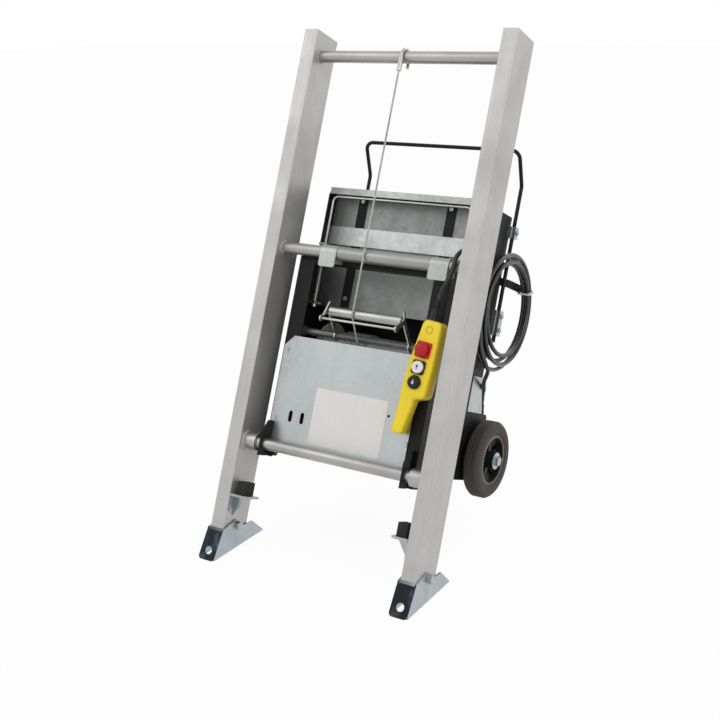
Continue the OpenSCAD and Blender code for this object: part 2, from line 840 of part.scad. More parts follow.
// Winch works
module cross_shaft() color("dimgray") ladder() {
  bar_x(-in_w, in_w, cross_y, cross_z, cross_r);
  bar_x(-in_w, collar_l - in_w, cross_y, cross_z, collar_r);
}
module motor() color("slategray") ladder() translate([0, motor_y, motor_z]) rotate([0, 90, 0]) {
  body_r = motor_d / 2;
  translate([0, 0, -drum_l / 2]) cylinder(h = drum_l, r = body_r - motor_rib);
  translate([0, 0, drum_l / 2]) cylinder(h = gear_x - drum_l / 2, r = body_r * motor_flange_share);
  for (i = [0 : motor_ribs - 1]) {
    step = drum_l / motor_ribs;
    translate([0, 0, i * step - drum_l / 2]) cylinder(h = step / 2, r = body_r);
  }
}
module gearbox() color("slategray") ladder() difference() {
  plate_yz(gear_x, in_w - gear_x) {
    round_rect([gear_front, gear_low], [gear_rear, gear_low + gear_low_h], housing_round);
    round_rect([gear_up_y, gear_low], [gear_rear, gear_low + gear_up_h], housing_round);
  }
  bar_x(gear_x - over, gear_x + gear_bore, drum_y, drum_z, drum_r + fit);
}
module drum_bearings() color("slategray") ladder() difference() {
  face = bearing_l - in_w;
  bar_x(-in_w, face, drum_y, drum_z, bearing_r);
  bar_x(-in_w + gap, face + over, drum_y, drum_z, drum_r + fit);
}
module drum() color("darkgray") ladder() translate([0, drum_y, drum_z]) rotate([0, 90, 0]) rotate_extrude() {
  end = drum_l / 2;
  rect([barrel_r - drum_wall, -end], [barrel_r, end]);
  for (z = [-end, end - flange_t]) rect([drum_r + fit, z], [flange_r, z + flange_t]);
  for (z = [-end, end - drum_hub_l]) rect([drum_r + fit, z], [drum_hub_r, z + drum_hub_l]);
}
module drum_shaft() color("dimgray") ladder()
  bar_x(-in_w + 2 * gap, gear_x + gear_bore - gap, drum_y, drum_z, drum_r);

// Winding: turns at a steady pitch, with a straight run of one diameter at each end
loop_rings = 24;
form_sides = 6;
cord_sides = 8;
rod_sides = 16;
function turn_point(x, a) = [x, drum_y + rope_turn_r * cos(a), drum_z + rope_turn_r * sin(a)];
function winding_turns() = [
  for (i = [0 : rope_turns * loop_rings])
    turn_point(winding_x + i * rope_pitch / loop_rings, winding_start + 360 * i / loop_rings)
];
function run_on(p, d) = concat(
  [p[0] + d * unit(p[0] - p[1])],
  p,
  [p[len(p) - 1] + d * unit(p[len(p) - 1] - p[len(p) - 2])]
);
winding_path = run_on(winding_turns(), rope_d);
echo(winding_gap = self_gap(winding_path, loop_rings / 2, rope_d));
module rope_winding() color("silver") ladder() tube(winding_path, rope_d, form_sides, [1, 0, 0]);

module slack_arm() color("silver") ladder() {
  pivot = [cross_y, cross_z];
  roller_at = pivot + roller_off;
  bar_at = pivot + front_bar_off;
  tip_at = pivot + arm_tip_off;
  left = roller_left - arm_side;
  right = roller_left + roller_l + arm_gap;
  difference() {
    union() {
      for (x = [left, right]) plate_yz(x, arm_t) {
        strut(pivot, roller_at, arm_half);
        translate(pivot) circle(arm_boss_r);
        for (p = [roller_at, bar_at]) translate(p) circle(arm_r);
      }
      plate_yz(left, arm_t) polygon([roller_at, bar_at, tip_at]);
      plate_yz(right, arm_t) {
        strut(roller_at, bar_at, arm_half);
        strut(roller_at, tip_at, front_bar_r);
      }
      bar_x(left + arm_t / 2, right + arm_t / 2, roller_y, roller_z, roller_pin_r);
      bar_x(left + arm_t / 2, right + arm_t / 2, bar_at.x, bar_at.y, front_bar_r);
    }
    bar_x(left - over, right + arm_t + over, cross_y, cross_z, cross_r + fit);
  }
}
module guide_roller() color("gainsboro") ladder() difference() {
  bar_x(roller_left, roller_left + roller_l, roller_y, roller_z, roller_d / 2);
  bar_x(roller_left - over, roller_left + roller_l + over, roller_y, roller_z, roller_pin_r + fit);
}

module limit_bail() color("silver") ladder() translate([0, panel_y, 0]) {
  collar_low = guide_low + guide_t + spring_l;
  both_sides() {
    bar_z(bail_low, bail_top - bail_bend, bail_x, 0, bail_r);
    bar_z(collar_low, collar_low + bail_collar_t, bail_x, 0, bail_collar_r);
    bar_z(bail_low, guide_low - gap, bail_x, 0, bail_collar_r);
    translate([bail_x - bail_bend, 0, bail_top - bail_bend]) rotate([90, 0, 0])
      rotate_extrude(angle = 90) translate([bail_bend, 0]) circle(bail_r);
  }
  bar_x(bail_bend - bail_x, bail_x - bail_bend, 0, bail_top, bail_r);
}
module bail_guides() color("gainsboro") ladder() both_sides() for (z = [guide_low, guide_up]) difference() {
  box([bail_x - guide_d / 2, panel_y - guide_d / 2, z], [in_w, panel_y + guide_d, z + guide_t]);
  bar_z(z - over, z + guide_t + over, bail_x, panel_y, bail_r + fit);
}
curl_rings = 8;
function spring_points(x) = [
  for (i = [0 : spring_curls * curl_rings])
    let (a = 360 * i / curl_rings, rise = (spring_l - 2 * spring_wire) * i / (spring_curls * curl_rings))
    [x + spring_r * cos(a), panel_y + spring_r * sin(a), guide_low + guide_t + spring_wire + rise]
];
echo(spring_gap = self_gap(spring_points(bail_x), curl_rings / 2, spring_wire));
module bail_springs() color("silver") ladder() for (x = [-bail_x, bail_x])
  tube(spring_points(x), spring_wire, form_sides, [0, 0, 1]);

// Transport
module handle() color([0.13, 0.13, 0.13]) ladder() tube(handle_path, handle_d, rod_sides, [0, 1, 0]);
module handle_clamps() color("gainsboro") ladder() both_sides() for (s = clamp_spans) difference() {
  plate_xy(s[0], s[1]) {
    rect([half_w, handle_y - clamp_half_y], [handle_x, handle_y + clamp_half_y]);
    rect([handle_x, handle_y - clamp_out], [handle_x + clamp_out, handle_y + clamp_out]);
  }
  bar_z(s[0] - over, s[0] + s[1] + over, handle_x, handle_y, handle_r + fit);
}
module axle() color("gainsboro") ladder() {
  tip = wheel_x + tyre_w + hub_proud + gap;
  bar_x(-tip, tip, axle_y, axle_z, axle_r);
}
module at_wheel(side) ladder() translate([0, axle_y, axle_z]) mirror([side < 0 ? 1 : 0, 0, 0])
  translate([wheel_x, 0, 0]) rotate([0, 90, 0]) children();
module wheel(side) color([0.15, 0.15, 0.15]) at_wheel(side) {
  middle = (tyre_w - web_t) / 2;
  rotate_extrude() {
    rect([axle_r + fit, -hub_proud], [hub_r, tyre_w + hub_proud]);
    rect([rim_in_r, rim_lip], [rim_r, tyre_w - rim_lip]);
  }
  for (i = [0 : spokes - 1]) rotate(360 * i / spokes) translate([0, 0, middle]) linear_extrude(web_t)
    rect([hub_r - over, -spoke_w / 2], [web_r, spoke_w / 2]);
}
module wheel_left() wheel(-1);
module wheel_right() wheel(1);
module tyre(side) color([0.25, 0.24, 0.22]) at_wheel(side) rotate_extrude() difference() {
  union() {
    round_rect([rim_r, 0], [tyre_d / 2, tyre_w], tyre_round);
    rect([rim_r, rim_lip], [rim_r + tyre_round, tyre_w - rim_lip]);
  }
  rect([0, -over], [rim_r, tyre_w + over]);
  for (s = groove_shares)
    rect([tyre_d / 2 - groove_d, s * tyre_w - groove_w / 2], [tyre_d / 2 + over, s * tyre_w + groove_w / 2]);
}
module tyre_left() tyre(-1);
module tyre_right() tyre(1);
module hub_nuts() color("gainsboro") ladder() both_sides() {
  face = wheel_x + tyre_w + hub_proud + gap;
  bar_x(face, face + washer_t, axle_y, axle_z, hub_r);
  hex_x(face + washer_t, face + washer_t + nut_h, axle_y, axle_z, nut_r);
}

// Control cable
module coil_arm() color([0.13, 0.13, 0.13]) ladder() plate_xy(arm_z, arm_h) polygon([
  [half_w, arm_root],
  [half_w + arm_bar, arm_root],
  [half_w + arm_bar, arm_step_y],
  [half_w + arm_bar + arm_out, arm_step_y + arm_out],
  [half_w + arm_bar + arm_out, arm_tip],
  [half_w + arm_out, arm_tip],
  [half_w + arm_out, arm_step_y + arm_out + arm_bar / 2],
  [half_w, arm_step_y + arm_bar / 2]
]);

// Coil: spirals in on the inner layer, climbs in the half turn where it reverses, and spirals out on the outer
function coil_angle(t) = 180 + 360 * t;
function coil_step(t) = coil_pitch + coil_spread * (1 - cos(coil_angle(t) - coil_tie)) / 2;
function coil_radius(t) = coil_r - coil_step(t) * min(t, coil_turns - t);
function coil_climb(t) = min(1, max(0, (t - coil_turns / 2) * 2 + 0.5));
coil_steps = round(coil_turns * loop_rings);
coil_loops = [
  for (i = [0 : coil_steps])
    let (t = coil_turns * i / coil_steps, a = coil_angle(t))
    [coil_x + coil_layer * coil_climb(t), coil_y + coil_radius(t) * cos(a), coil_z + coil_radius(t) * sin(a)]
];
coil_path = concat(
  [pendant_route[len(pendant_route) - 1]],
  coil_loops,
  [lead_route[0]]
);
echo(coil_gap = self_gap(coil_loops, loop_rings / 2, cable_d));
module cable_coil() color([0.12, 0.12, 0.12]) ladder() tube(coil_path, cable_d, form_sides, [1, 0, 0]);
module cable_lead() color([0.12, 0.12, 0.12]) ladder() tube(lead_route, cable_d, cord_sides, [1, 0, 0]);
module pendant_cable() color([0.12, 0.12, 0.12]) ladder() tube(pendant_route, cable_d, cord_sides, [1, 0, 0]);
module cable_gland() color([0.12, 0.12, 0.12]) ladder() translate([lead_end.x, lead_end.y, housing_top]) {
  cylinder(h = gland_nut_h, r = gland_r + washer_t, $fn = 6);
  translate([0, 0, gland_nut_h]) cylinder(h = gland_h - gland_nut_h, r1 = gland_r, r2 = cable_d / 2 + washer_t);
}

// Pendant
module at_pendant() ladder() translate(pendant_top) rotate([0, pendant_tilt, 0]) children();
module ball(x, y, z, r) translate([x, y, z]) sphere(r, $fn = 24);
module pendant_body() color("gold") at_pendant() {
  r = pendant_round;
  side = pendant_w / 2 - r;
  back = pendant_d / 2 - r;
  hull() for (y = [-back, back], s = [-1, 1]) {
    ball(s * side * pendant_waist_share, y, -r, r);
    ball(s * side, y, -pendant_l * pendant_belly_share, r);
    ball(s * side, y, r - pendant_l + pendant_cut, r);
    ball(min(s * side, side - pendant_cut), y, r - pendant_l, r);
  }
  hull() for (y = [-back, back] * grip_depth_share, x = [0, grip_w - 2 * r]) {
    ball(x - side, y, -pendant_l * grip_root_share, r);
    ball(x * grip_tip_share - side, y, r - grip_l, r);
  }
}
module pendant_boot() color([0.12, 0.12, 0.12]) at_pendant() translate([-boot_side, 0, 0]) {
  cylinder(h = boot_l, r1 = boot_r, r2 = boot_neck_r);
  for (i = [1 : boot_ribs]) translate([0, 0, boot_l - i * boot_rib_step])
    cylinder(h = boot_rib_step / 2, r = boot_neck_r + washer_t);
}
module on_front(down) at_pendant() translate([0, -pendant_d / 2, -down]) rotate([90, 0, 0]) children();
module button_plates() color([0.15, 0.15, 0.15]) {
  on_front(estop_down) linear_extrude(plate_h) difference() {
    round_rect([-estop_plate / 2, -estop_plate / 2], [estop_plate / 2, estop_plate / 2], plate_round);
    circle(estop_stem_r + fit);
  }
  bezel = button_d / 2 + washer_t;
  on_front(up_down) linear_extrude(plate_h) difference() {
    round_rect([-bezel, -bezel], [bezel, bezel], plate_round);
    circle(button_d / 2 + fit);
  }
  on_front(down_down) linear_extrude(plate_h) difference() {
    circle(bezel);
    circle(button_d / 2 + fit);
  }
  on_front(ring_down) linear_extrude(ring_t) difference() {
    circle(ring_r);
    circle(ring_r - ring_t);
  }
}
module estop_button() color("firebrick") on_front(estop_down) {
  translate([0, 0, press + gap]) cylinder(h = estop_lift, r = estop_stem_r);
  translate([0, 0, plate_h + press + gap]) rotate_extrude() {
    rect([0, 0], [estop_d / 2, estop_head_h / 2]);
    intersection() {
      translate([0, estop_head_h / 2 - estop_d]) circle(estop_d + estop_head_h / 4);
      rect([0, 0], [estop_d / 2, estop_head_h]);
    }
  }
}
module push_button(down) on_front(down) translate([0, 0, press + gap])
  cylinder(h = plate_h - press + button_proud, r = button_d / 2);
module up_button() color("white") push_button(up_down);
module down_button() color([0.1, 0.1, 0.1]) push_button(down_down);

// Wire rope and the hook that holds its upper end
rope_path = concat(
  rope_route,
  [for (i = [0 : wrap_steps])
    let (a = wrap_from + i * wrap_step)
    [rope_drum_x, drum_y + wrap_r * cos(a), drum_z + wrap_r * sin(a)]]
);
module wire_rope() color("silver") ladder() tube(rope_path, rope_d, cord_sides, [1, 0, 0]);
module rope_hook() color("silver") ladder() translate([rope_route[0].x, rung_y, 0]) {
  front = -hook_rod_turn_r;
  rope_end = rope_route[0].z;
  translate([0, front, rope_end]) cylinder(h = ferrule_l, r = ferrule_r);
  translate([0, front, rope_end + ferrule_l / 2]) cylinder(h = top_z - rope_end - ferrule_l / 2, r = hook_rod_r);
  translate([0, 0, top_z]) rotate([90, 0, 90]) rotate_extrude(angle = 180)
    translate([hook_rod_turn_r, 0]) circle(hook_rod_r);
  translate([0, -front, top_z - hook_tail]) cylinder(h = hook_tail, r = hook_rod_r);
}

rail_left();
rail_right();
lower_rung();
middle_rung();
upper_rung();
stop_brackets();
stop_pads();
stop_bolts();
foot_left();
foot_right();
foot_bolts();
upright_left();
upright_right();
rung_forks();
hook_rail();
rung_hooks();
front_cover();
panel_bolts();
side_panel_left();
side_panel_right();
lid();
rear_panel();
inner_panel();
cross_band();
lid_straps();
rear_housing();
terminal_cover();
cross_shaft();
motor();
gearbox();
drum_bearings();
drum();
drum_shaft();
rope_winding();
slack_arm();
guide_roller();
limit_bail();
bail_springs();
bail_guides();
handle();
handle_clamps();
axle();
wheel_left();
tyre_left();
wheel_right();
tyre_right();
hub_nuts();
coil_arm();
cable_coil();
cable_lead();
pendant_cable();
cable_gland();
pendant_body();
pendant_boot();
button_plates();
estop_button();
up_button();
down_button();
wire_rope();
rope_hook();
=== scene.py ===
"""Looks of a material hoist's base section: its finishes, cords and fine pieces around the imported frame.

Sizes are in millimetres of the ladder's own frame, X across, Y back from the rails and Z up them,
unless a name says otherwise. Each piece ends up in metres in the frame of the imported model.
"""

from __future__ import annotations

import json
import logging
import math
from dataclasses import dataclass
from enum import Enum
from typing import Any, Callable, Iterable, Sequence, Union

import bmesh
import bpy
from mathutils import Matrix, Vector

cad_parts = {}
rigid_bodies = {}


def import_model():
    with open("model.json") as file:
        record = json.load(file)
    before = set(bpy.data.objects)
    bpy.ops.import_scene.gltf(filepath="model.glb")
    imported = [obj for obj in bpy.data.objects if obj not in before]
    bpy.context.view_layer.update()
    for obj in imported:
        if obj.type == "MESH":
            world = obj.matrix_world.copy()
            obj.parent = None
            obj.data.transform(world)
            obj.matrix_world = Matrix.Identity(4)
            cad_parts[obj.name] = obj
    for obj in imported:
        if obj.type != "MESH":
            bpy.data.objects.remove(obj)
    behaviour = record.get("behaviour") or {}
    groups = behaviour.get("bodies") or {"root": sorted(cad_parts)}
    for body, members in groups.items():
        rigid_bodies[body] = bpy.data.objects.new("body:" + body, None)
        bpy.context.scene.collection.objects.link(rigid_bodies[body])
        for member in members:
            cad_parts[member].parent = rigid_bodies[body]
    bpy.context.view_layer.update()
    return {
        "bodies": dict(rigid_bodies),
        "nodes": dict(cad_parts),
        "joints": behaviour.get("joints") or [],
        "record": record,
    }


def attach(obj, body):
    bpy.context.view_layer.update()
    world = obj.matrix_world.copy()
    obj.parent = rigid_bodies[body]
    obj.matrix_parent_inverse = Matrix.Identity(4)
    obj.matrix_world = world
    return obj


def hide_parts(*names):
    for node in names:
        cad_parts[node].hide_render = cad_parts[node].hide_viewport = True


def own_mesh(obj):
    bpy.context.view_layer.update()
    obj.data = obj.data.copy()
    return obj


LOG = logging.getLogger("hoist")
Point = Sequence[float]
MM = 0.001
FULL_TURN = 2 * math.pi
ABOUT_Z: dict[str, Any] = {"cent": (0, 0, 0), "axis": (0, 0, 1)}
WHITE = (1.0, 1.0, 1.0, 1.0)
LEAN = math.radians(22.5)
RUNG_R = 15.0
# The drum's axis and the cable coil's middle in Y and Z, and the angle in degrees at which the coil is tied.
DRUM_AXIS = (170.0, 488.0)
COIL_MIDDLE = (318.0, 668.0)
COIL_TIE_ANGLE = 31.0


class Body(Enum):
    """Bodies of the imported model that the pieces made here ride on."""

    FRAME = "frame"
    LEFT_WHEEL = "left_wheel"
    RIGHT_WHEEL = "right_wheel"
    DRUM = "drum_unit"
    ESTOP = "estop_unit"
    UP = "up_unit"
    DOWN = "down_unit"


class Facing(Enum):
    """Sides of the ladder's frame that a turned piece can point to."""

    RIGHT = (1, 0, 0)
    LEFT = (-1, 0, 0)

    @property
    def turn(self) -> Matrix:
        """The turn that brings Z to this side."""
        return Vector(self.value).to_track_quat("Z", "Y").to_matrix().to_4x4()


class Grain(Enum):
    """Ways that the drawing marks of a metal can run."""

    UP_THE_RAIL = (1.0, 1.0, 0.006)
    ACROSS = (0.006, 1.0, 1.0)
    NONE = (1.0, 1.0, 1.0)


def srgb(code: str) -> tuple[float, float, float, float]:
    """Turns a hex colour into linear values.

    Args:
        code: Six hex digits, with or without a leading hash.

    Returns:
        Linear red, green, blue and a full alpha.
    """
    digits = code.lstrip("#")
    parts = [int(digits[i : i + 2], 16) / 255 for i in (0, 2, 4)]
    linear = [p / 12.92 if p <= 0.04045 else ((p + 0.055) / 1.055) ** 2.4 for p in parts]
    return (linear[0], linear[1], linear[2], 1.0)


class Socket:
    """A shader value that takes part in Python arithmetic."""

    def __init__(self, tree: Tree, out: bpy.types.NodeSocket) -> None:
        """Wraps one output socket.

        Args:
            tree: The tree that the socket belongs to.
            out: The output socket.
        """
        self.tree = tree
        self.out = out

    def math(self, operation: str, other: Value, swap: bool = False) -> Socket:
        """Adds a Math node.

        Args:
            operation: The node's operation.
            other: Its other operand.
            swap: Whether the operands are turned round.

        Returns:
            The node's result.
        """
        values = {0: other, 1: self} if swap else {0: self, 1: other}
        return self.tree.node("ShaderNodeMath", {"operation": operation}, values)

    def also(self, name: str) -> Socket:
        """Another output of the same node."""
        return Socket(self.tree, self.out.node.outputs[name])

    def __add__(self, other: Value) -> Socket:
        """Adds a value."""
        return self.math("ADD", other)

    def __sub__(self, other: Value) -> Socket:
        """Subtracts a value."""
        return self.math("SUBTRACT", other)

    def __rsub__(self, other: Value) -> Socket:
        """Subtracts from a value."""
        return self.math("SUBTRACT", other, swap=True)

    def __mul__(self, other: Value) -> Socket:
        """Multiplies by a value."""
        return self.math("MULTIPLY", other)

    def spread(self, width: float) -> Socket:
        """Lays a noise that runs from 0 to 1 about zero, this wide."""
        return (self - 0.5) * width

    def ramp(self, low: float, high: float) -> Socket:
        """Rises smoothly from 0 at low to 1 at high."""
        settings = {"interpolation_type": "SMOOTHSTEP"}
        return self.tree.node("ShaderNodeMapRange", settings, {"Value": self, 1: low, 2: high})


Value = Union[Socket, float]


class Tree:
    """The nodes of a material or a world."""

    def __init__(self, owner: bpy.types.Material | bpy.types.World) -> None:
        """Takes up an owner's nodes.

        Args:
            owner: The material or the world.
        """
        owner.use_nodes = True
        self.owner = owner
        self.nodes = owner.node_tree.nodes
        self.links = owner.node_tree.links
        self.shader = self.nodes.get("Principled BSDF")

    def taken(self, name: str) -> Socket:
        """What feeds one of the shader's sockets now."""
        return Socket(self, self.shader.inputs[name].links[0].from_socket)

    def node(
        self,
        kind: str,
        settings: dict[str, Any] | None = None,
        inputs: dict[Any, Any] | None = None,
        out: int | str = 0,
    ) -> Socket:
        """Adds any node.

        Args:
            kind: The node's type.
            settings: Its own settings, set first.
            inputs: Values or links of its sockets, by name or number.
            out: The output that is wanted.

        Returns:
            That output.
        """
        made = self.nodes.new(kind)
        for key, value in (settings or {}).items():
            setattr(made, key, value)
        for key, value in (inputs or {}).items():
            self.feed(made.inputs[key], value)
        return Socket(self, made.outputs[out])

    def feed(self, socket: bpy.types.NodeSocket, value: Any) -> None:
        """Links or sets one input.

        Args:
            socket: The input.
            value: A Socket, or a constant.
        """
        if isinstance(value, Socket):
            self.links.new(value.out, socket)
        else:
            socket.default_value = value

    def place(self, scale: Point = (1, 1, 1), turn: float = 0.0) -> Socket:
        """Object coordinates through a Mapping node.

        Args:
            scale: Stretch along each axis.
            turn: Turn about X in radians, before the stretch.

        Returns:
            The mapped coordinates.
        """
        here = self.node("ShaderNodeTexCoord", out="Object")
        leaned = self.node("ShaderNodeMapping", inputs={"Vector": here, "Rotation": (turn, 0, 0)})
        return self.node("ShaderNodeMapping", inputs={"Vector": leaned, "Scale": tuple(scale)})

    def noise(self, at: Socket, scale: float, detail: float = 3.0) -> Socket:
        """Noise from 0 to 1, in features per metre."""
        return self.node("ShaderNodeTexNoise", inputs={"Vector": at, "Scale": scale, "Detail": detail})

    def mix(self, share: Value, low: Any, high: Any) -> Socket:
        """Blends two colours.

        Args:
            share: How much of the second.
            low: The first colour.
            high: The second colour.

        Returns:
            The blend.
        """
        return self.node("ShaderNodeMix", {"data_type": "RGBA"}, {0: share, 6: low, 7: high}, out=2)

    def bump(self, height: Socket, depth: float, edge: float = 0.0) -> Socket:
        """A normal from a height.

        Args:
            height: The height, from 0 to 1.
            depth: Its real depth in metres.
            edge: Radius in metres by which sharp edges look worn round.

        Returns:
            The normal.
        """
        inputs: dict[Any, Any] = {"Height": height, "Distance": depth, "Strength": 1.0}
        if edge:
            inputs["Normal"] = self.node("ShaderNodeBevel", {"samples": 4}, {"Radius": edge})
        return self.node("ShaderNodeBump", inputs=inputs)

    def surface(self, **inputs: Any) -> bpy.types.Material:
        """Feeds the shader and closes the material.

        Args:
            inputs: Values of the shader's sockets, with underscores for spaces.

        Returns:
            The material.
        """
        for key, value in inputs.items():
            self.feed(self.shader.inputs[key.replace("_", " ")], value)
        return self.owner


@dataclass(frozen=True)
class Finish:
    """What every finish has: a name, the record's slot and a main colour.

    Its marks, grains and clouds are counted per metre, and its depths and edges are in metres.
    """

    name: str
    slot: str
    colour: str

    def material(self) -> bpy.types.Material:
        """The finish's material, made once."""
        return bpy.data.materials.get(self.name) or self.build()

    def tree(self) -> Tree:
        """The nodes of a new material with the finish's name."""
        return Tree(bpy.data.materials.new(self.name))

    def build(self) -> bpy.types.Material:
        """Makes the material."""
        raise NotImplementedError


@dataclass(frozen=True)
class DrawnMetal(Finish):
    """Bare metal with drawing marks along its grain, dull clouds and a few scratches."""

    rough: float = 0.4
    grain: Grain = Grain.NONE
    lean: float = 0.0
    shade: str = "#8d8d8c"
    marks: float = 700.0
    edge: float = 0.0006
    metal: float = 0.92
    clouds: float = 9.0
    scratches: float = 160.0
    skew: float = 0.5
    depth: float = 0.00003

    def build(self) -> bpy.types.Material:
        """Makes the material."""
        tree = self.tree()
        here = tree.place()
        drawn = tree.noise(tree.place(self.grain.value, self.lean), self.marks)
        cloud = tree.noise(here, self.clouds, 5.0)
        scratch = tree.noise(tree.place((1, 1, 0.04), self.lean + self.skew), self.scratches, 1.0).ramp(0.66, 0.72)
        dull = drawn.spread(0.7) + cloud.spread(0.9) + 0.4
        return tree.surface(
            Base_Color=tree.mix(dull.ramp(0.0, 1.0), srgb(self.colour), srgb(self.shade)),
            Metallic=self.metal,
            Roughness=cloud.spread(0.25) + drawn.spread(0.2) + scratch * 0.12 + self.rough,
            Normal=tree.bump(drawn * 0.5 + scratch * 0.5, self.depth, self.edge),
        )


@dataclass(frozen=True)
class SpangledZinc(Finish):
    """Zinc-coated sheet with a fine spangle and hand marks."""

    rough: float = 0.36
    flake: float = 110.0
    shade: str = "#8b9092"
    spread: float = 0.35
    edge: float = 0.0005
    metal: float = 0.88
    clouds: float = 6.0
    smears: float = 24.0
    depth: float = 0.00004

    def build(self) -> bpy.types.Material:
        """Makes the material."""
        tree = self.tree()
        here = tree.place()
        cell = tree.node("ShaderNodeTexVoronoi", inputs={"Vector": here, "Scale": self.flake}, out="Color")
        flake = tree.node("ShaderNodeSeparateColor", inputs={0: cell})
        cloud = tree.noise(here, self.clouds, 5.0)
        smear = tree.noise(tree.place((1, 1, 0.2)), self.smears, 4.0)
        dull = flake.spread(self.spread) + cloud.spread(0.8) + smear.spread(0.5) + 0.4
        return tree.surface(
            Base_Color=tree.mix(dull.ramp(0.0, 1.0), srgb(self.colour), srgb(self.shade)),
            Metallic=self.metal,
            Roughness=flake.spread(0.1) + smear.spread(0.3) + self.rough,
            Normal=tree.bump(smear, self.depth, self.edge),
        )


@dataclass(frozen=True)
class ToeZinc(SpangledZinc):
    """The same sheet with a painted dark reflection on the foot's sloping front face.

    Attributes:
        toe_y: The toe's place in metres.
        slope: The face's angle from the ground in radians.
        painted_reflection_colour: Colour of the painted dark reflection.
        painted_reflection_streak_colour: Colour of the lighter streaks in the painted reflection.
        rubs_and_reflection_streaks: Streaks per metre in the painted reflection.
    """

    toe_y: float = -0.371355
    slope: float = math.radians(55.1364)
    painted_reflection_colour: str = "#23282d"
    painted_reflection_streak_colour: str = "#4a545b"
    rubs_and_reflection_streaks: float = 40.0

    def build(self) -> bpy.types.Material:
        """Makes the material."""
        tree = Tree(super().build())
        y = tree.node("ShaderNodeSeparateXYZ", inputs={0: tree.place()}, out="Y")
        above = y.also("Z") * math.cos(self.slope) - (y - self.toe_y) * math.sin(self.slope)
        # Mask of the sloping toe face, which gets a painted dark reflection. Its dark colour with lighter streaks
        # stands in for the dark surroundings that the zinc mirrors, and the face is glossier there.
        painted_reflection_mask = above.ramp(-0.0006, -0.0003)
        smear = tree.noise(tree.place((1, 1, 0.3)), self.rubs_and_reflection_streaks, 4.0)
        zinc, rough = tree.taken("Base Color"), tree.taken("Roughness")
        # Painted reflection: a dark colour with lighter painted streaks, laid over the zinc on the toe face.
        dark = tree.mix(smear.ramp(0.45, 0.75), srgb(self.painted_reflection_colour), srgb(self.painted_reflection_streak_colour))
        sheen = smear * 0.25 + 0.08
        return tree.surface(
            Base_Color=tree.mix(painted_reflection_mask, zinc, dark),
            Roughness=rough * (1.0 - painted_reflection_mask) + sheen * painted_reflection_mask,
        )


@dataclass(frozen=True)
class Paint(Finish):
    """Coated metal with a fine peel, handling dust and rubbed patches."""

    rough: float = 0.38
    peel: float = 900.0
    dust: str = "#55524e"
    dusty: float = 0.25
    edge: float = 0.0008
    shine: float = 0.2
    clouds: float = 11.0
    rubs_and_reflection_streaks: float = 60.0
    depth: float = 0.00004

    def build(self) -> bpy.types.Material:
        """Makes the material."""
        tree = self.tree()
        here = tree.place()
        peel = tree.noise(here, self.peel, 2.0)
        cloud = tree.noise(here, self.clouds, 6.0)
        rub = tree.noise(here, self.rubs_and_reflection_streaks, 5.0)
        worn = cloud.ramp(0.5, 0.8) * rub.ramp(0.45, 0.75) * self.dusty
        return tree.surface(
            Base_Color=tree.mix(worn, srgb(self.colour), srgb(self.dust)),
            Roughness=cloud.spread(0.25) + worn * 0.6 + self.rough,
            Normal=tree.bump(peel, self.depth, self.edge),
            Specular_IOR_Level=self.shine,
        )


@dataclass(frozen=True)
class Moulded(Finish):
    """Moulded plastic or rubber with a fine grain and faint handling marks."""

    rough: float = 0.4
    grain: float = 1400.0
    depth: float = 0.00002
    shade: str = "#000000"
    uneven: float = 0.2
    gloss: float = 0.0
    gloss_rough: float = 0.12
    shine: float = 0.3
    clouds: float = 30.0
    streaks: float = 130.0

    def build(self) -> bpy.types.Material:
        """Makes the material."""
        tree = self.tree()
        here = tree.place()
        grain = tree.noise(here, self.grain, 2.0)
        cloud = tree.noise(here, self.clouds, 5.0)
        marks = tree.noise(tree.place((1, 0.3, 1)), self.streaks, 4.0)
        share = (cloud.ramp(0.35, 0.8) + marks.ramp(0.5, 0.8)) * (self.uneven / 2)
        return tree.surface(
            Base_Color=tree.mix(share, srgb(self.colour), srgb(self.shade)),
            Roughness=marks.spread(0.25) + cloud.spread(0.15) + self.rough,
            Normal=tree.bump(grain, self.depth),
            Coat_Weight=self.gloss,
            Coat_Roughness=self.gloss_rough,
            Specular_IOR_Level=self.shine,
        )


ALUMINIUM = DrawnMetal(
    "mill_aluminium_drawn", "mill_aluminium", "#c2c1c0", 0.42, Grain.UP_THE_RAIL, LEAN, "#a9a7a6", metal=0.6
)
RUNG_METAL = DrawnMetal("mill_aluminium_tube", "mill_aluminium", "#b4b3b1", 0.4, Grain.ACROSS, 0.0, "#8f8d8a")
SLEEVE_METAL = DrawnMetal(
    "mill_aluminium_sleeve", "mill_aluminium", "#a3a3a1", 0.42, Grain.ACROSS, 0.0, "#858482", metal=0.75
)
WELD_METAL = DrawnMetal("weld_bead", "mill_aluminium", "#c4c4c2", 0.45, Grain.NONE, 0.0, "#7e7d7b", 300.0, 0.0)
COVER_ZINC = SpangledZinc("cover_galvanised", "galvanised_sheet", "#bcc1c1", 0.36, 120.0, "#a8adad", 0.16)
HOOK_ZINC = SpangledZinc("hook_galvanised", "galvanised_sheet", "#b0b2b0", 0.4, 120.0, "#9c9e9c", 0.16)
BAND_ZINC = SpangledZinc("band_galvanised", "galvanised_sheet", "#c0c4c3", 0.4, 120.0, "#a9adac", 0.16)
LID_ZINC = SpangledZinc("lid_galvanised", "galvanised_sheet", "#aeb0ad", 0.4, 120.0, "#949693", 0.16)
PLATE_ZINC = SpangledZinc("bright_zinc", "zinc_plate", "#b9c0c1", 0.28, 260.0, "#8f9798", 0.2)
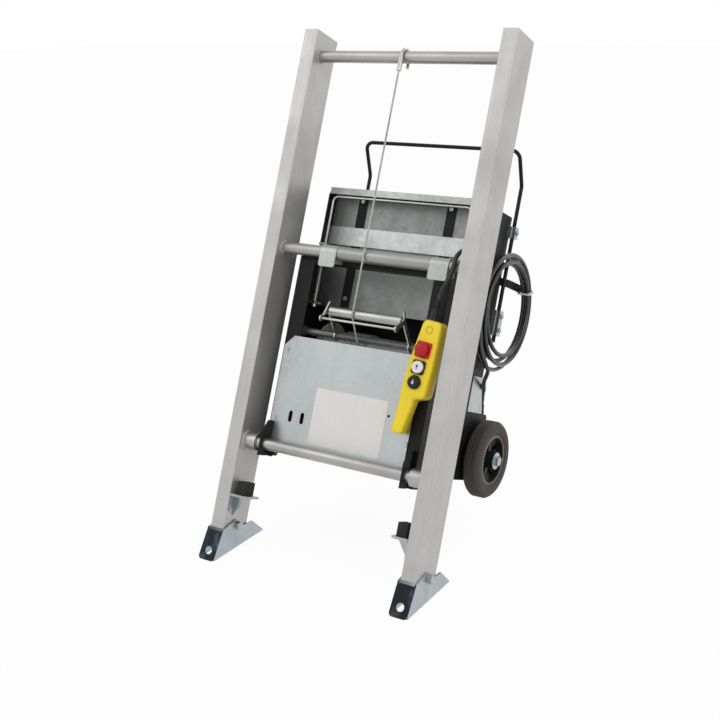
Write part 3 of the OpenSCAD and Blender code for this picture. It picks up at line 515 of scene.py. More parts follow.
# Zinc of the feet, with a painted dark reflection on each toe face.
FOOT_ZINC = ToeZinc("foot_zinc", "zinc_plate", "#b4bcc1", 0.32, 260.0, "#949da3", 0.15)
INNER_ZINC = SpangledZinc("inner_galvanised", "grey_sheet", "#888b89", 0.45, 140.0, "#757775", 0.12)
BRIGHT_STEEL = DrawnMetal("bright_steel_drawn", "bright_steel", "#c6c6c2", 0.28, Grain.ACROSS, 0.0, "#8a8a86")
DRUM_STEEL = DrawnMetal("drum_steel_turned", "bright_steel", "#bcbcb8", 0.4, Grain.ACROSS, 0.0, "#92928e", metal=0.45)
DARK_STEEL = DrawnMetal("dark_steel_turned", "dark_steel", "#757574", 0.38, Grain.ACROSS, 0.0, "#4c4c4b", metal=0.6)
SPRING_STEEL = DrawnMetal("spring_wire", "bright_steel", "#d8d8d4", 0.5, Grain.NONE, 0.0, "#b4b4b0", 900.0, 0.0)
ROPE_STEEL = DrawnMetal("rope_wire", "wire_rope", "#c6c6c3", 0.4, Grain.NONE, 0.0, "#8b8a87", 900.0, 0.0, 0.7)
BLACK_PAINT = Paint("black_powder_coat", "black_paint", "#161616", 0.46)
MACHINE_PAINT = Paint("grey_machine_paint", "machine_grey", "#3e4144", 0.42, 700.0, "#6b6a66", 0.3)
PAD_RUBBER = Moulded("pad_rubber", "rubber_pad", "#262625", 0.72, 900.0, 0.00008, "#3c3a37", 0.4)
TYRE_RUBBER = Moulded("tyre_rubber", "tyre", "#413d3a", 0.7, 1100.0, 0.00006, "#56504a", 0.6)
WHEEL_PLASTIC = Moulded("moulded_wheel", "wheel_plastic", "#171717", 0.42, 1500.0, 0.00002, "#33312f", 0.4)
RING_PLASTIC = Moulded("rim_ring_plastic", "wheel_plastic", "#75736f", 0.5, 1500.0, 0.00002, "#8a8783", 0.4)
CABLE_SHEATH = Moulded("cable_sheath", "cable", "#161616", 0.3, 500.0, 0.00001, "#262524", 0.2, 0.5)
BLACK_PLASTIC = Moulded("moulded_black", "black_plastic", "#1c1c1c", 0.45, 1600.0, 0.00002, "#35332f", 0.3)
YELLOW_PLASTIC = Moulded("moulded_yellow", "yellow_plastic", "#fde032", 0.33, 1500.0, 0.00002, "#e4c522", 0.35, 0.2)
OCHRE_PLASTIC = Moulded("moulded_ochre", "yellow_plastic", "#b8961c", 0.4, 1500.0, 0.00002, "#9a7a12", 0.35)
RED_PLASTIC = Moulded("moulded_red", "red_plastic", "#bb1620", 0.42, 1500.0, 0.00002, "#971019", 0.3, 0.1)
WHITE_PLASTIC = Moulded("moulded_white", "white_plastic", "#efede9", 0.35, 1500.0, 0.00002, "#c9c6c0", 0.35, 0.2)
LABEL_FILM = Moulded("label_film", "white_plastic", "#eceae8", 0.3, 600.0, 0.00001, "#d9d6d2", 0.3, 0.3)


@dataclass
class Ladder:
    """The leaning frame that the pieces are placed in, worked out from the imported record.

    Attributes:
        socket_y: Depth of the rail sockets' middle behind the rails' front faces.
        socket_z: Length of the rails.
    """

    frame: dict[str, Any]
    socket_y: float = 49.0
    socket_z: float = 1290.0

    def __post_init__(self) -> None:
        """Works out the frame's matrix from the rail socket."""
        mount = next(m for m in self.frame["record"]["mounts"] if m["name"] == "rail_socket_left")
        up = Vector(mount["axis"]).normalized()
        back = Vector((0, up.z, -up.y))
        turn = Matrix((Vector((1, 0, 0)), back, up)).transposed().to_4x4()
        top = Vector((0, *mount["pos_m"][1:]))
        low = top - (back * self.socket_y + up * self.socket_z) * MM
        self.up = up
        self.matrix = Matrix.Translation(low) @ turn @ Matrix.Scale(MM, 4)

    def at(self, point: Point) -> Vector:
        """A point of the ladder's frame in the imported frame."""
        return self.matrix @ Vector(point)

    def facing(self, point: Point, facing: Facing) -> Matrix:
        """A local frame at a point.

        Args:
            point: Its origin in the ladder's frame.
            facing: Where its Z points.

        Returns:
            The matrix from that frame, in millimetres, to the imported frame.
        """
        return self.matrix @ Matrix.Translation(Vector(point)) @ facing.turn

    def span(self, node: str) -> tuple[Vector, Vector]:
        """A node's lowest and highest corners.

        Args:
            node: The node's name.

        Returns:
            The corners in the ladder's frame.
        """
        back = self.matrix.inverted()
        points = [back @ v.co for v in self.frame["nodes"][node].data.vertices]
        low = Vector([min(p[i] for p in points) for i in range(3)])
        high = Vector([max(p[i] for p in points) for i in range(3)])
        return low, high


def ride(piece: bpy.types.Object, body: Body, finish: Finish, *stands_for: str) -> None:
    """Dresses a piece and sets it on its body.

    Args:
        piece: The piece, in place.
        body: The body that carries it.
        finish: Its finish.
        stands_for: Nodes that it replaces.
    """
    piece.data.materials.clear()
    piece.data.materials.append(finish.material())
    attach(piece, body.value)
    if stands_for:
        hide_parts(*stands_for)
    LOG.info("%s on %s", piece.name, body.value)


def put(name: str, data: bpy.types.ID) -> bpy.types.Object:
    """Puts an object into the scene, at the origin.

    Args:
        name: The object's name.
        data: Its mesh, curve, camera or light.

    Returns:
        The object.
    """
    made = bpy.data.objects.new(name, data)
    bpy.context.scene.collection.objects.link(made)
    return made


class Form:
    """One mesh in the making, in millimetres of a frame that is given when it is placed."""

    def __init__(self) -> None:
        """Starts an empty mesh."""
        self.bm = bmesh.new()

    def block(self, size: Point, middle: Point) -> None:
        """Adds a box.

        Args:
            size: Its three sizes.
            middle: Its middle.
        """
        matrix = Matrix.Translation(Vector(middle)) @ Matrix.Diagonal((*size, 1.0))
        bmesh.ops.create_cube(self.bm, size=1.0, matrix=matrix)

    def bar(self, radius: float, high: float, sides: int) -> None:
        """Stands a bar with flat sides on the origin.

        Args:
            radius: Radius of its corners.
            high: Its height.
            sides: Its number of sides.
        """
        middle = Matrix.Translation((0, 0, high / 2))
        bmesh.ops.create_cone(
            self.bm, cap_ends=True, segments=sides, radius1=radius, radius2=radius, depth=high, matrix=middle
        )

    def lathe(self, profile: Sequence[Point], steps: int = 64, closed: bool = False) -> None:
        """Turns an outline about Z.

        Args:
            profile: Points of radius and height.
            steps: Steps round the turn.
            closed: Whether the outline's last point joins its first.
        """
        verts = [self.bm.verts.new((r, 0, z)) for r, z in profile]
        pairs = list(zip(verts, verts[1:])) + ([(verts[-1], verts[0])] if closed else [])
        edges = [self.bm.edges.new(pair) for pair in pairs]
        bmesh.ops.spin(self.bm, geom=verts + edges, steps=steps, angle=FULL_TURN, use_merge=True, **ABOUT_Z)
        bmesh.ops.remove_doubles(self.bm, verts=self.bm.verts, dist=1e-4)
        bmesh.ops.recalc_face_normals(self.bm, faces=self.bm.faces)

    def prism(self, corners: Sequence[Point], along: Point, hole: Sequence[Point] = ()) -> None:
        """Draws a flat outline out into a solid.

        Args:
            corners: The outline's corners.
            along: How far, and which way, it is drawn.
            hole: Corners of a hole, as many as the outline has.
        """
        rim = [self.bm.verts.new(c) for c in corners]
        inner = [self.bm.verts.new(c) for c in hole]
        if inner:
            flat = [self.bm.faces.new((rim[i - 1], rim[i], inner[i], inner[i - 1])) for i in range(len(rim))]
        else:
            flat = [self.bm.faces.new(rim)]
        drawn = bmesh.ops.extrude_face_region(self.bm, geom=flat)["geom"]
        far = [v for v in drawn if isinstance(v, bmesh.types.BMVert)]
        bmesh.ops.translate(self.bm, vec=along, verts=far)
        bmesh.ops.recalc_face_normals(self.bm, faces=self.bm.faces)

    def helix(self, radius: float, wire: float, turns: float, rise: float, steps: int, sides: int) -> None:
        """Winds a round wire about Z, from the X side upwards.

        Args:
            radius: Radius of the turns at the wire's middle.
            wire: The wire's diameter.
            turns: Number of turns.
            rise: Height of all turns together.
            steps: Steps for each turn.
            sides: Sides of the wire.
        """
        upright = Matrix.Translation((radius, 0, 0)) @ Matrix.Rotation(math.pi / 2, 4, "X")
        ring = bmesh.ops.create_circle(self.bm, segments=sides, radius=wire / 2, matrix=upright)["verts"]
        edges = list({e for v in ring for e in v.link_edges})
        count = round(turns * steps)
        lift = (0, 0, rise / count)
        bmesh.ops.spin(self.bm, geom=ring + edges, dvec=lift, steps=count, angle=FULL_TURN * turns, **ABOUT_Z)
        bmesh.ops.holes_fill(self.bm, edges=self.bm.edges, sides=sides)
        bmesh.ops.recalc_face_normals(self.bm, faces=self.bm.faces)

    def soften(
        self,
        offset: float,
        segments: int,
        above: float,
        pick: Callable[[bmesh.types.BMEdge], bool] = lambda edge: True,
    ) -> None:
        """Rounds sharp edges.

        Args:
            offset: Size of the rounding.
            segments: Its steps.
            above: Least angle in degrees of an edge that is rounded.
            pick: Which edges may be rounded.
        """
        limit = math.radians(above)
        sharp = [e for e in self.bm.edges if len(e.link_faces) == 2 and e.calc_face_angle() > limit and pick(e)]
        shape: dict[str, Any] = {"affect": "EDGES", "profile": 0.5, "material": -1, "clamp_overlap": True}
        bmesh.ops.bevel(self.bm, geom=sharp, offset=offset, segments=segments, **shape)

    def take(self, other: Form, matrix: Matrix = Matrix.Identity(4)) -> None:
        """Adds a copy of another mesh.

        Args:
            other: The other mesh.
            matrix: Where it goes.
        """
        loose = bpy.data.meshes.new("loose")
        other.bm.to_mesh(loose)
        loose.transform(matrix)
        self.bm.from_mesh(loose)
        bpy.data.meshes.remove(loose)

    def piece(self, name: str, matrix: Matrix, sharp: float = 40.0) -> bpy.types.Object:
        """Makes the object.

        Args:
            name: The piece's name.
            matrix: From the mesh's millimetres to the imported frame.
            sharp: Angle in degrees above which an edge is shaded sharp.

        Returns:
            The object, at the origin.
        """
        mesh = bpy.data.meshes.new(name)
        bmesh.ops.transform(self.bm, matrix=matrix, verts=self.bm.verts)
        self.bm.to_mesh(mesh)
        self.bm.free()
        mesh.shade_smooth()
        mesh.set_sharp_from_angle(angle=math.radians(sharp))
        return put(name, mesh)


def turned(
    name: str, profile: Sequence[Point], frame: Matrix, steps: int = 64, closed: bool = False, sharp: float = 40.0
) -> bpy.types.Object:
    """Turns an outline into a piece.

    Args:
        name: The piece's name.
        profile: Points of radius and height about the frame's Z.
        frame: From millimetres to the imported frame.
        steps: Steps round the turn.
        closed: Whether the outline's last point joins its first.
        sharp: Angle in degrees above which an edge is shaded sharp.

    Returns:
        The object.
    """
    form = Form()
    form.lathe(profile, steps, closed)
    return form.piece(name, frame, sharp)


def rod_curve(name: str, points: Iterable[Vector], radius: float, smooth: bool = True) -> bpy.types.Object:
    """A round cord or rod along points.

    Args:
        name: The piece's name.
        points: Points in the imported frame.
        radius: Radius in metres.
        smooth: Whether the line curves through its points.

    Returns:
        The curve object.
    """
    line = bpy.data.curves.new(name, "CURVE")
    line.dimensions = "3D"
    line.bevel_depth = radius
    line.bevel_resolution = 5
    line.resolution_u = 5
    line.use_fill_caps = True
    route = list(points)
    if smooth:
        spline = line.splines.new("BEZIER")
        spline.bezier_points.add(len(route) - 1)
        for knot, place in zip(spline.bezier_points, route):
            knot.co = place
            knot.handle_left_type = "AUTO"
            knot.handle_right_type = "AUTO"
    else:
        spline = line.splines.new("POLY")
        spline.points.add(len(route) - 1)
        for knot, place in zip(spline.points, route):
            knot.co = (*place, 1.0)
    return put(name, line)


def run_length(points: Sequence[Vector]) -> float:
    """Length of the line through some points."""
    return sum((b - a).length for a, b in zip(points, points[1:]))


@dataclass
class Studio:
    """Camera, floor and lights.

    Attributes:
        lens: The camera's focal length in millimetres.
        eye: Its place in metres.
        across: Its direction to the right.
        down: Its direction down the picture.
        sensor: Width of its sensor in millimetres.
        lamps: Place and size in metres and power in watts of each light.
        floor_size: Side of the floor in metres.
        pale: The floor's colour in the light that it throws back.
        white_share: How far the floor is seen as plain white.
        sky_level: Strength of the sky's light on the object.
    """

    lens: float = 55.82
    eye: Point = (1.403, -2.2819, 1.3224)
    across: Point = (0.84797, 0.52967, -0.01946)
    down: Point = (0.14594, -0.26860, -0.95213)
    sensor: float = 36.0
    lamps: tuple[tuple[str, Point, float, float], ...] = (
        ("key_light", (-3.0, -2.2, 3.8), 3.0, 34.0),
        ("fill_light", (3.6, -1.0, 2.6), 2.8, 30.0),
        ("rim_light", (0.6, 3.2, 3.2), 2.4, 22.0),
    )
    floor_size: float = 60.0
    pale: str = "#f4f4f3"
    white_share: float = 0.95
    sky_level: float = 0.66

    def build(self) -> None:
        """Makes the camera, the floor, the lights and the world."""
        self.camera()
        self.floor()
        for lamp in self.lamps:
            self.lamp(*lamp)
        self.world()

    def camera(self) -> None:
        """Places the camera at the photograph's viewpoint."""
        data = bpy.data.cameras.new("camera")
        data.lens = self.lens
        data.sensor_width = self.sensor
        seen = put("camera", data)
        across = Vector(self.across).normalized()
        raised = -(Vector(self.down) - across * across.dot(Vector(self.down))).normalized()
        turn = Matrix((across, raised, across.cross(raised))).transposed().to_4x4()
        seen.matrix_world = Matrix.Translation(Vector(self.eye)) @ turn
        bpy.context.scene.camera = seen

    def floor(self) -> None:
        """Lays a pale floor that keeps a soft shadow."""
        mesh = bpy.data.meshes.new("floor")
        laid = bmesh.new()
        bmesh.ops.create_grid(laid, x_segments=1, y_segments=1, size=self.floor_size / 2)
        laid.to_mesh(mesh)
        laid.free()
        floor = put("floor", mesh)
        tree = Tree(bpy.data.materials.new("pale_floor"))
        shown = self.shown(tree)
        white = tree.node("ShaderNodeEmission", inputs={"Color": WHITE, "Strength": 1.0})
        tree.surface(Base_Color=srgb(self.pale), Roughness=0.9, Specular_IOR_Level=0.1)
        dull = Socket(tree, tree.shader.outputs[0])
        mixed = tree.node("ShaderNodeMixShader", inputs={0: shown * self.white_share, 1: dull, 2: white})
        tree.links.new(mixed.out, tree.nodes["Material Output"].inputs["Surface"])
        mesh.materials.append(tree.owner)

    @staticmethod
    def shown(tree: Tree) -> Socket:
        """One where the camera, a reflection or a clear piece looks at the background."""
        path = tree.node("ShaderNodeLightPath", out="Is Camera Ray")
        mirrored = path.math("MAXIMUM", path.also("Is Glossy Ray"))
        return mirrored.math("MAXIMUM", path.also("Is Transmission Ray"))

    @staticmethod
    def lamp(name: str, place: Point, size: float, power: float, aim: Point = (0, 0, 0.6)) -> None:
        """Hangs a soft square light.

        Args:
            name: Its name.
            place: Its place in metres.
            size: Its side in metres.
            power: Its power in watts.
            aim: The point that it faces.
        """
        data = bpy.data.lights.new(name, "AREA")
        data.size = size
        data.energy = power
        lamp = put(name, data)
        lamp.location = place
        lamp.rotation_euler = (Vector(aim) - Vector(place)).to_track_quat("-Z", "Y").to_euler()

    def world(self) -> None:
        """Sets a white background, with a plainer light on the object."""
        world = bpy.data.worlds.new("studio")
        bpy.context.scene.world = world
        tree = Tree(world)
        sky = tree.nodes["Background"]
        tree.feed(sky.inputs["Color"], WHITE)
        tree.feed(sky.inputs["Strength"], self.shown(tree) * (1 - self.sky_level) + self.sky_level)
        bpy.context.scene.view_settings.view_transform = "Standard"


@dataclass
class ControlCable:
    """The cable from the pendant over the rung, round its coil and into the rear housing."""

    ladder: Ladder
    diameter: float = 11.0
    coil_x: float = 242.0
    coil_layer: float = 12.5
    coil_r: float = 154.0
    coil_pitch: float = 12.5
    coil_spread: float = 16.0
    coil_turns: float = 4.18
    loop_points: int = 24

    def pendant_route(self) -> list[Point]:
        """The stretch from the pendant's boot to the coil."""
        return [
            (209, 28, 649), (210.05, 28, 659), (213.5, 26, 672), (223.5, 20.5, 689), (234.5, 14.5, 708),
            (238, 13, 728), (238, 16, 745), (238, 26, 759), (238, 40, 769), (238, 57, 772), (238.5, 73, 770),
            (239, 87, 765), (239.5, 102, 758), (240, 116, 751), (241, 135.5, 738.5), (242, 150, 721.5),
            (242, 160, 704), (242, 163, 690), (242, 163.6, 679),
        ]  # fmt: skip

    def lead_route(self) -> list[Point]:
        """The stretch from the coil to the gland on the rear housing."""
        return [
            (254.5, 261.4, 521.9), (254.5, 270.4, 517.4), (252.5, 279, 512), (248, 287.5, 505.5),
            (241.5, 297.5, 497.5), (234, 309.5, 488.5), (227.5, 325, 478), (222, 342.5, 468.5),
            (214.5, 359, 459.5), (208.8, 371.5, 451), (206.3, 378.5, 444), (206, 380, 437), (206, 380, 430),
        ]  # fmt: skip

    def coil_route(self) -> list[Point]:
        """The coil's turns, in on the inner layer and out on the outer one."""
        steps = round(self.coil_turns * self.loop_points)
        route: list[Point] = []
        for i in range(steps + 1):
            t = self.coil_turns * i / steps
            a = math.pi + FULL_TURN * t
            apart = (1 - math.cos(a - math.radians(COIL_TIE_ANGLE))) / 2
            radius = self.coil_r - (self.coil_pitch + self.coil_spread * apart) * min(t, self.coil_turns - t)
            climb = min(1.0, max(0.0, (t - self.coil_turns / 2) * 2 + 0.5))
            y, z = COIL_MIDDLE[0] + radius * math.cos(a), COIL_MIDDLE[1] + radius * math.sin(a)
            route.append((self.coil_x + self.coil_layer * climb, y, z))
        return route

    def build(self) -> None:
        route = [*self.pendant_route(), *self.coil_route(), *self.lead_route()]
        points = [self.ladder.at(p) for p in route]
        cable = rod_curve("control_cable", points, self.diameter / 2 * MM)
        ride(cable, Body.FRAME, CABLE_SHEATH, "pendant_cable", "cable_coil", "cable_lead")
        run_length(points)


@dataclass
class WireRope:
    """The hoisting rope: six strands from the hook at the upper rung down to the drum."""

    ladder: Ladder
    diameter: float = 5.0
    strands: int = 6
    strand_share: float = 1 / 6
    off_share: float = 1 / 3
    lay: float = 34.0
    step: float = 2.8
    drum_x: float = -11.0
    wrap_r: float = 60.3
    wrap_from: float = 228.0
    wrap_to: float = 324.0
    wrap_steps: int = 8

    def route(self) -> list[Point]:
        """The rope's line from the hook to its wrap on the drum."""
        free: list[Point] = [
            (-8, 15.7, 1190), (-8, 15.5, 1100), (-8, 15.2, 950), (-8, 14.8, 800), (-8, 14.4, 660), (-8, 14, 600),
            (-8, 14, 585), (-8.1, 15, 580), (-8.3, 17.5, 575.5), (-9, 38.8, 550.3), (-10, 81.4, 499.8),
            (-11, 123.6, 449.8),
        ]  # fmt: skip
        wrap = arc(DRUM_AXIS, self.wrap_r, self.wrap_from, self.wrap_to, self.wrap_steps)
        return free + [(self.drum_x, y, z) for y, z in wrap]

    def fine_line(self) -> list[Vector]:
        """The rope's line at even short steps, in millimetres."""
        knots = [Vector(p) for p in self.route()]
        fine = [knots[0]]
        for a, b in zip(knots, knots[1:]):
            count = max(1, round((b - a).length / self.step))
            fine.extend(a.lerp(b, i / count) for i in range(1, count + 1))
        return fine

    def strand(self, line: Sequence[Vector], phase: float) -> list[Vector]:
        """One strand that winds round the rope's line.

        Args:
            line: The rope's line.
            phase: Where the strand starts, as a share of a turn.

        Returns:
            The strand's points.
        """
        off = self.diameter * self.off_share
        side = Vector((1, 0, 0))
        run = 0.0
        points = []
        for i, here in enumerate(line):
            ahead = (line[min(i + 1, len(line) - 1)] - line[max(i - 1, 0)]).normalized()
            side = (side - ahead * side.dot(ahead)).normalized()
            run += (here - line[i - 1]).length if i else 0.0
            a = FULL_TURN * (phase + run / self.lay)
            points.append(here + off * (math.cos(a) * side + math.sin(a) * ahead.cross(side)))
        return points

    def build(self) -> None:
        line = self.fine_line()
        rope = Form()
        for k in range(self.strands):
            points = [self.ladder.at(p) for p in self.strand(line, k / self.strands)]
            curve = rod_curve("strand", points, self.diameter * self.strand_share * MM, smooth=False)
            curve.data.bevel_resolution = 1
            solid = bpy.data.meshes.new_from_object(curve.evaluated_get(bpy.context.evaluated_depsgraph_get()))
            rope.bm.from_mesh(solid)
            data = curve.data
            bpy.data.objects.remove(curve)
            bpy.data.curves.remove(data)
            bpy.data.meshes.remove(solid)
        piece = rope.piece("hoist_rope", Matrix.Identity(4))
        ride(piece, Body.FRAME, ROPE_STEEL, "wire_rope")
        path = [self.ladder.at(p) for p in line]
        path.reverse()
        run_length(path)


@dataclass
class WinchWorks:
    """The rope's winding on the drum and the springs of the limit bail."""

    ladder: Ladder
    rope: float = 5.0
    turns: int = 14
    pitch: float = 5.6
    turn_r: float = 60.0
    first_x: float = -95.0
    first_angle: float = 40.0
    spring_r: float = 6.0
    spring_wire: float = 1.8
    spring_curls: int = 16
    spring_press: float = 20.0

    def build(self) -> None:
        """Makes the winding and the springs."""
        self.winding()
        self.springs()

    def winding(self) -> None:
        """Winds the rope on the drum."""
        wound = Form()
        wound.helix(self.turn_r, self.rope, self.turns, self.turns * self.pitch, steps=40, sides=12)
        start = math.radians(self.first_angle)
        axes = Matrix(((0, 0, 1), (1, 0, 0), (0, 1, 0))).to_4x4()
        spot = Matrix.Translation((self.first_x, *DRUM_AXIS))
        piece = wound.piece("drum_winding", self.ladder.matrix @ spot @ axes @ Matrix.Rotation(start, 4, "Z"))
        ride(piece, Body.DRUM, ROPE_STEEL, "rope_winding")

    def springs(self) -> None:
        """Winds both springs of the limit bail."""
        low, high = self.ladder.span("bail_springs")
        tall = high.z - low.z
        pair = Form()
        for side in (-1, 1):
            x = side * (high.x - self.spring_r - self.spring_wire / 2)
            coil = Form()
            rise = tall - self.spring_wire
            coil.helix(self.spring_r, self.spring_wire, self.spring_curls, rise, steps=20, sides=8)
            pair.take(coil, Matrix.Translation((x, (low.y + high.y) / 2, low.z + self.spring_wire / 2)))
        piece = pair.piece("bail_spring_pair", self.ladder.matrix)
        ride(piece, Body.FRAME, SPRING_STEEL, "bail_springs")
        anchor = self.ladder.at((0, low.y, low.z))
        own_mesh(piece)


def bend(points: Sequence[Vector], radius: float, steps: int = 10) -> list[Vector]:
    """Rounds the inner corners of a line with arcs.

    Args:
        points: The line's corners.
        radius: Radius of the arcs.
        steps: Steps in each arc.

    Returns:
        The rounded line.
    """
    line = [points[0]]
    for a, b, c in zip(points, points[1:], points[2:]):
        u, w = (a - b).normalized(), (c - b).normalized()
        half = u.angle(w) / 2
        middle = b + (u + w).normalized() * (radius / math.sin(half))
        reach = radius / math.tan(half)
        first, last = b + u * reach - middle, b + w * reach - middle
        line.extend(middle + first.slerp(last, i / steps) * radius for i in range(steps + 1))
    line.append(points[-1])
    return line


def round_off(corners: Sequence[tuple[float, float, float]], steps: int = 8) -> list[Point]:
    """Rounds every corner of a closed outline.

    Args:
        corners: X, Z and radius of each corner.
        steps: Steps in each arc.

    Returns:
        Points of the rounded outline in X and Z.
    """
    count = len(corners)
    outline: list[Point] = []
    for i, (x, z, radius) in enumerate(corners):
        before, after = corners[i - 1], corners[(i + 1) % count]
        three = [Vector((before[0], 0, before[1])), Vector((x, 0, z)), Vector((after[0], 0, after[1]))]
        outline.extend((v.x, v.z) for v in bend(three, radius, steps)[1:-1])
    return outline


def arc(middle: Point, radius: float, start: float, end: float, steps: int = 6) -> list[Point]:
    """Points of an arc in a plane.

    Args:
        middle: The arc's centre.
        radius: Its radius.
        start: Its first angle in degrees.
        end: Its last angle in degrees.
        steps: Its steps.

    Returns:
        The points.
    """
    angles = [math.radians(start + (end - start) * i / steps) for i in range(steps + 1)]
    return [(middle[0] + radius * math.cos(a), middle[1] + radius * math.sin(a)) for a in angles]


@dataclass
class Transport:
    """The bow handle and the two wheels."""

    ladder: Ladder
    rod_r: float = 5.0
    kink_drop: float = 79.0
    handle_bend: float = 22.0
    rim_r: float = 66.0
    bead: float = 5.0
    wall_shape: tuple[tuple[float, float], ...] = ((2, 3.2), (3, 3.0), (4, 1.4), (9, 0.4))
    shoulder: float = 15.0
    groove_w: float = 2.4
    groove_d: float = 1.4
    groove_lip: float = 0.6
    groove_shares: tuple[float, ...] = (0.26, 0.42, 0.58, 0.74)
    ring_in: float = 60.5
    ring_t: float = 2.45
    ring_gap: float = 0.05
    ring_play: float = 0.1
    steps: int = 96

    def build(self) -> None:
        """Makes the handle and both wheels' outer pieces."""
        self.handle()
        for side, body in (("left", Body.LEFT_WHEEL), ("right", Body.RIGHT_WHEEL)):
            self.tyre(side, body)
            self.rim_ring(side, body)

    def handle(self) -> None:
        """Bends the handle's rod."""
        low, high = self.ladder.span("handle")
        x, top = high.x - self.rod_r, high.z - self.rod_r
        rear, front = high.y - self.rod_r, low.y + self.rod_r
        half = [(x, rear, low.z), (x, rear, top - self.kink_drop), (x, front, top)]
        corners = [Vector(p) for p in half] + [Vector((-px, py, pz)) for px, py, pz in reversed(half)]
        line = [self.ladder.at(p) for p in bend(corners, self.handle_bend)]
        ride(rod_curve("bow_handle", line, self.rod_r * MM, smooth=False), Body.FRAME, BLACK_PAINT, "handle")

    def wheel_frame(self, side: str) -> tuple[Matrix, float, float]:
        """Where a wheel turns.

        Args:
            side: left or right.

        Returns:
            The frame on its inner face with Z outwards, the tyre's radius and its width.
        """
        low, high = self.ladder.span("tyre_" + side)
        inner = high.x if side == "left" else low.x
        facing = Facing.LEFT if side == "left" else Facing.RIGHT
        middle = (low + high) / 2
        frame = self.ladder.facing((inner, middle.y, middle.z), facing)
        return frame, (high.z - low.z) / 2, high.x - low.x

    def tyre(self, side: str, body: Body) -> None:
        """Turns a tyre with a grooved tread.

        Args:
            side: left or right.
            body: The wheel's body.
        """
        frame, radius, width = self.wheel_frame(side)
        inset = radius - self.shoulder
        wall: list[Point] = [(self.rim_r, self.bead)]
        wall += [(self.rim_r + out, deep) for out, deep in self.wall_shape] + [(inset - 1, 0.0)]
        wall += arc((inset, self.shoulder), self.shoulder, -90, -18, 8)
        tread: list[Point] = []
        for share in self.groove_shares:
            z, half, lip = share * width, self.groove_w / 2, self.groove_lip
            slope = [(radius, half + lip), (radius - lip, half), (radius - self.groove_d, half - lip)]
            tread += [(r, z - off) for r, off in slope] + [(r, z + off) for r, off in reversed(slope)]
        outline = wall + tread + [(r, width - z) for r, z in reversed(wall)]
        tyre = turned("tread_tyre_" + side, outline, frame, self.steps, True, 50)
        ride(tyre, body, TYRE_RUBBER, "tyre_" + side)

    def rim_ring(self, side: str, body: Body) -> None:
        """Turns the pale ring round the rim.

        Args:
            side: left or right.
            body: The wheel's body.
        """
        frame, _, width = self.wheel_frame(side)
        form = Form()
        edge, outer = (self.ring_in + self.rim_r) / 2, self.rim_r - self.ring_play
        for low in (self.bead - self.ring_gap - self.ring_t, width - self.bead + self.ring_gap):
            high = low + self.ring_t
            ring = Form()
            ring.lathe([(self.ring_in, low), (self.ring_in, high), (edge, high), (outer, low)], self.steps, True)
            form.take(ring)
        ride(form.piece("rim_ring_" + side, frame), body, RING_PLASTIC)


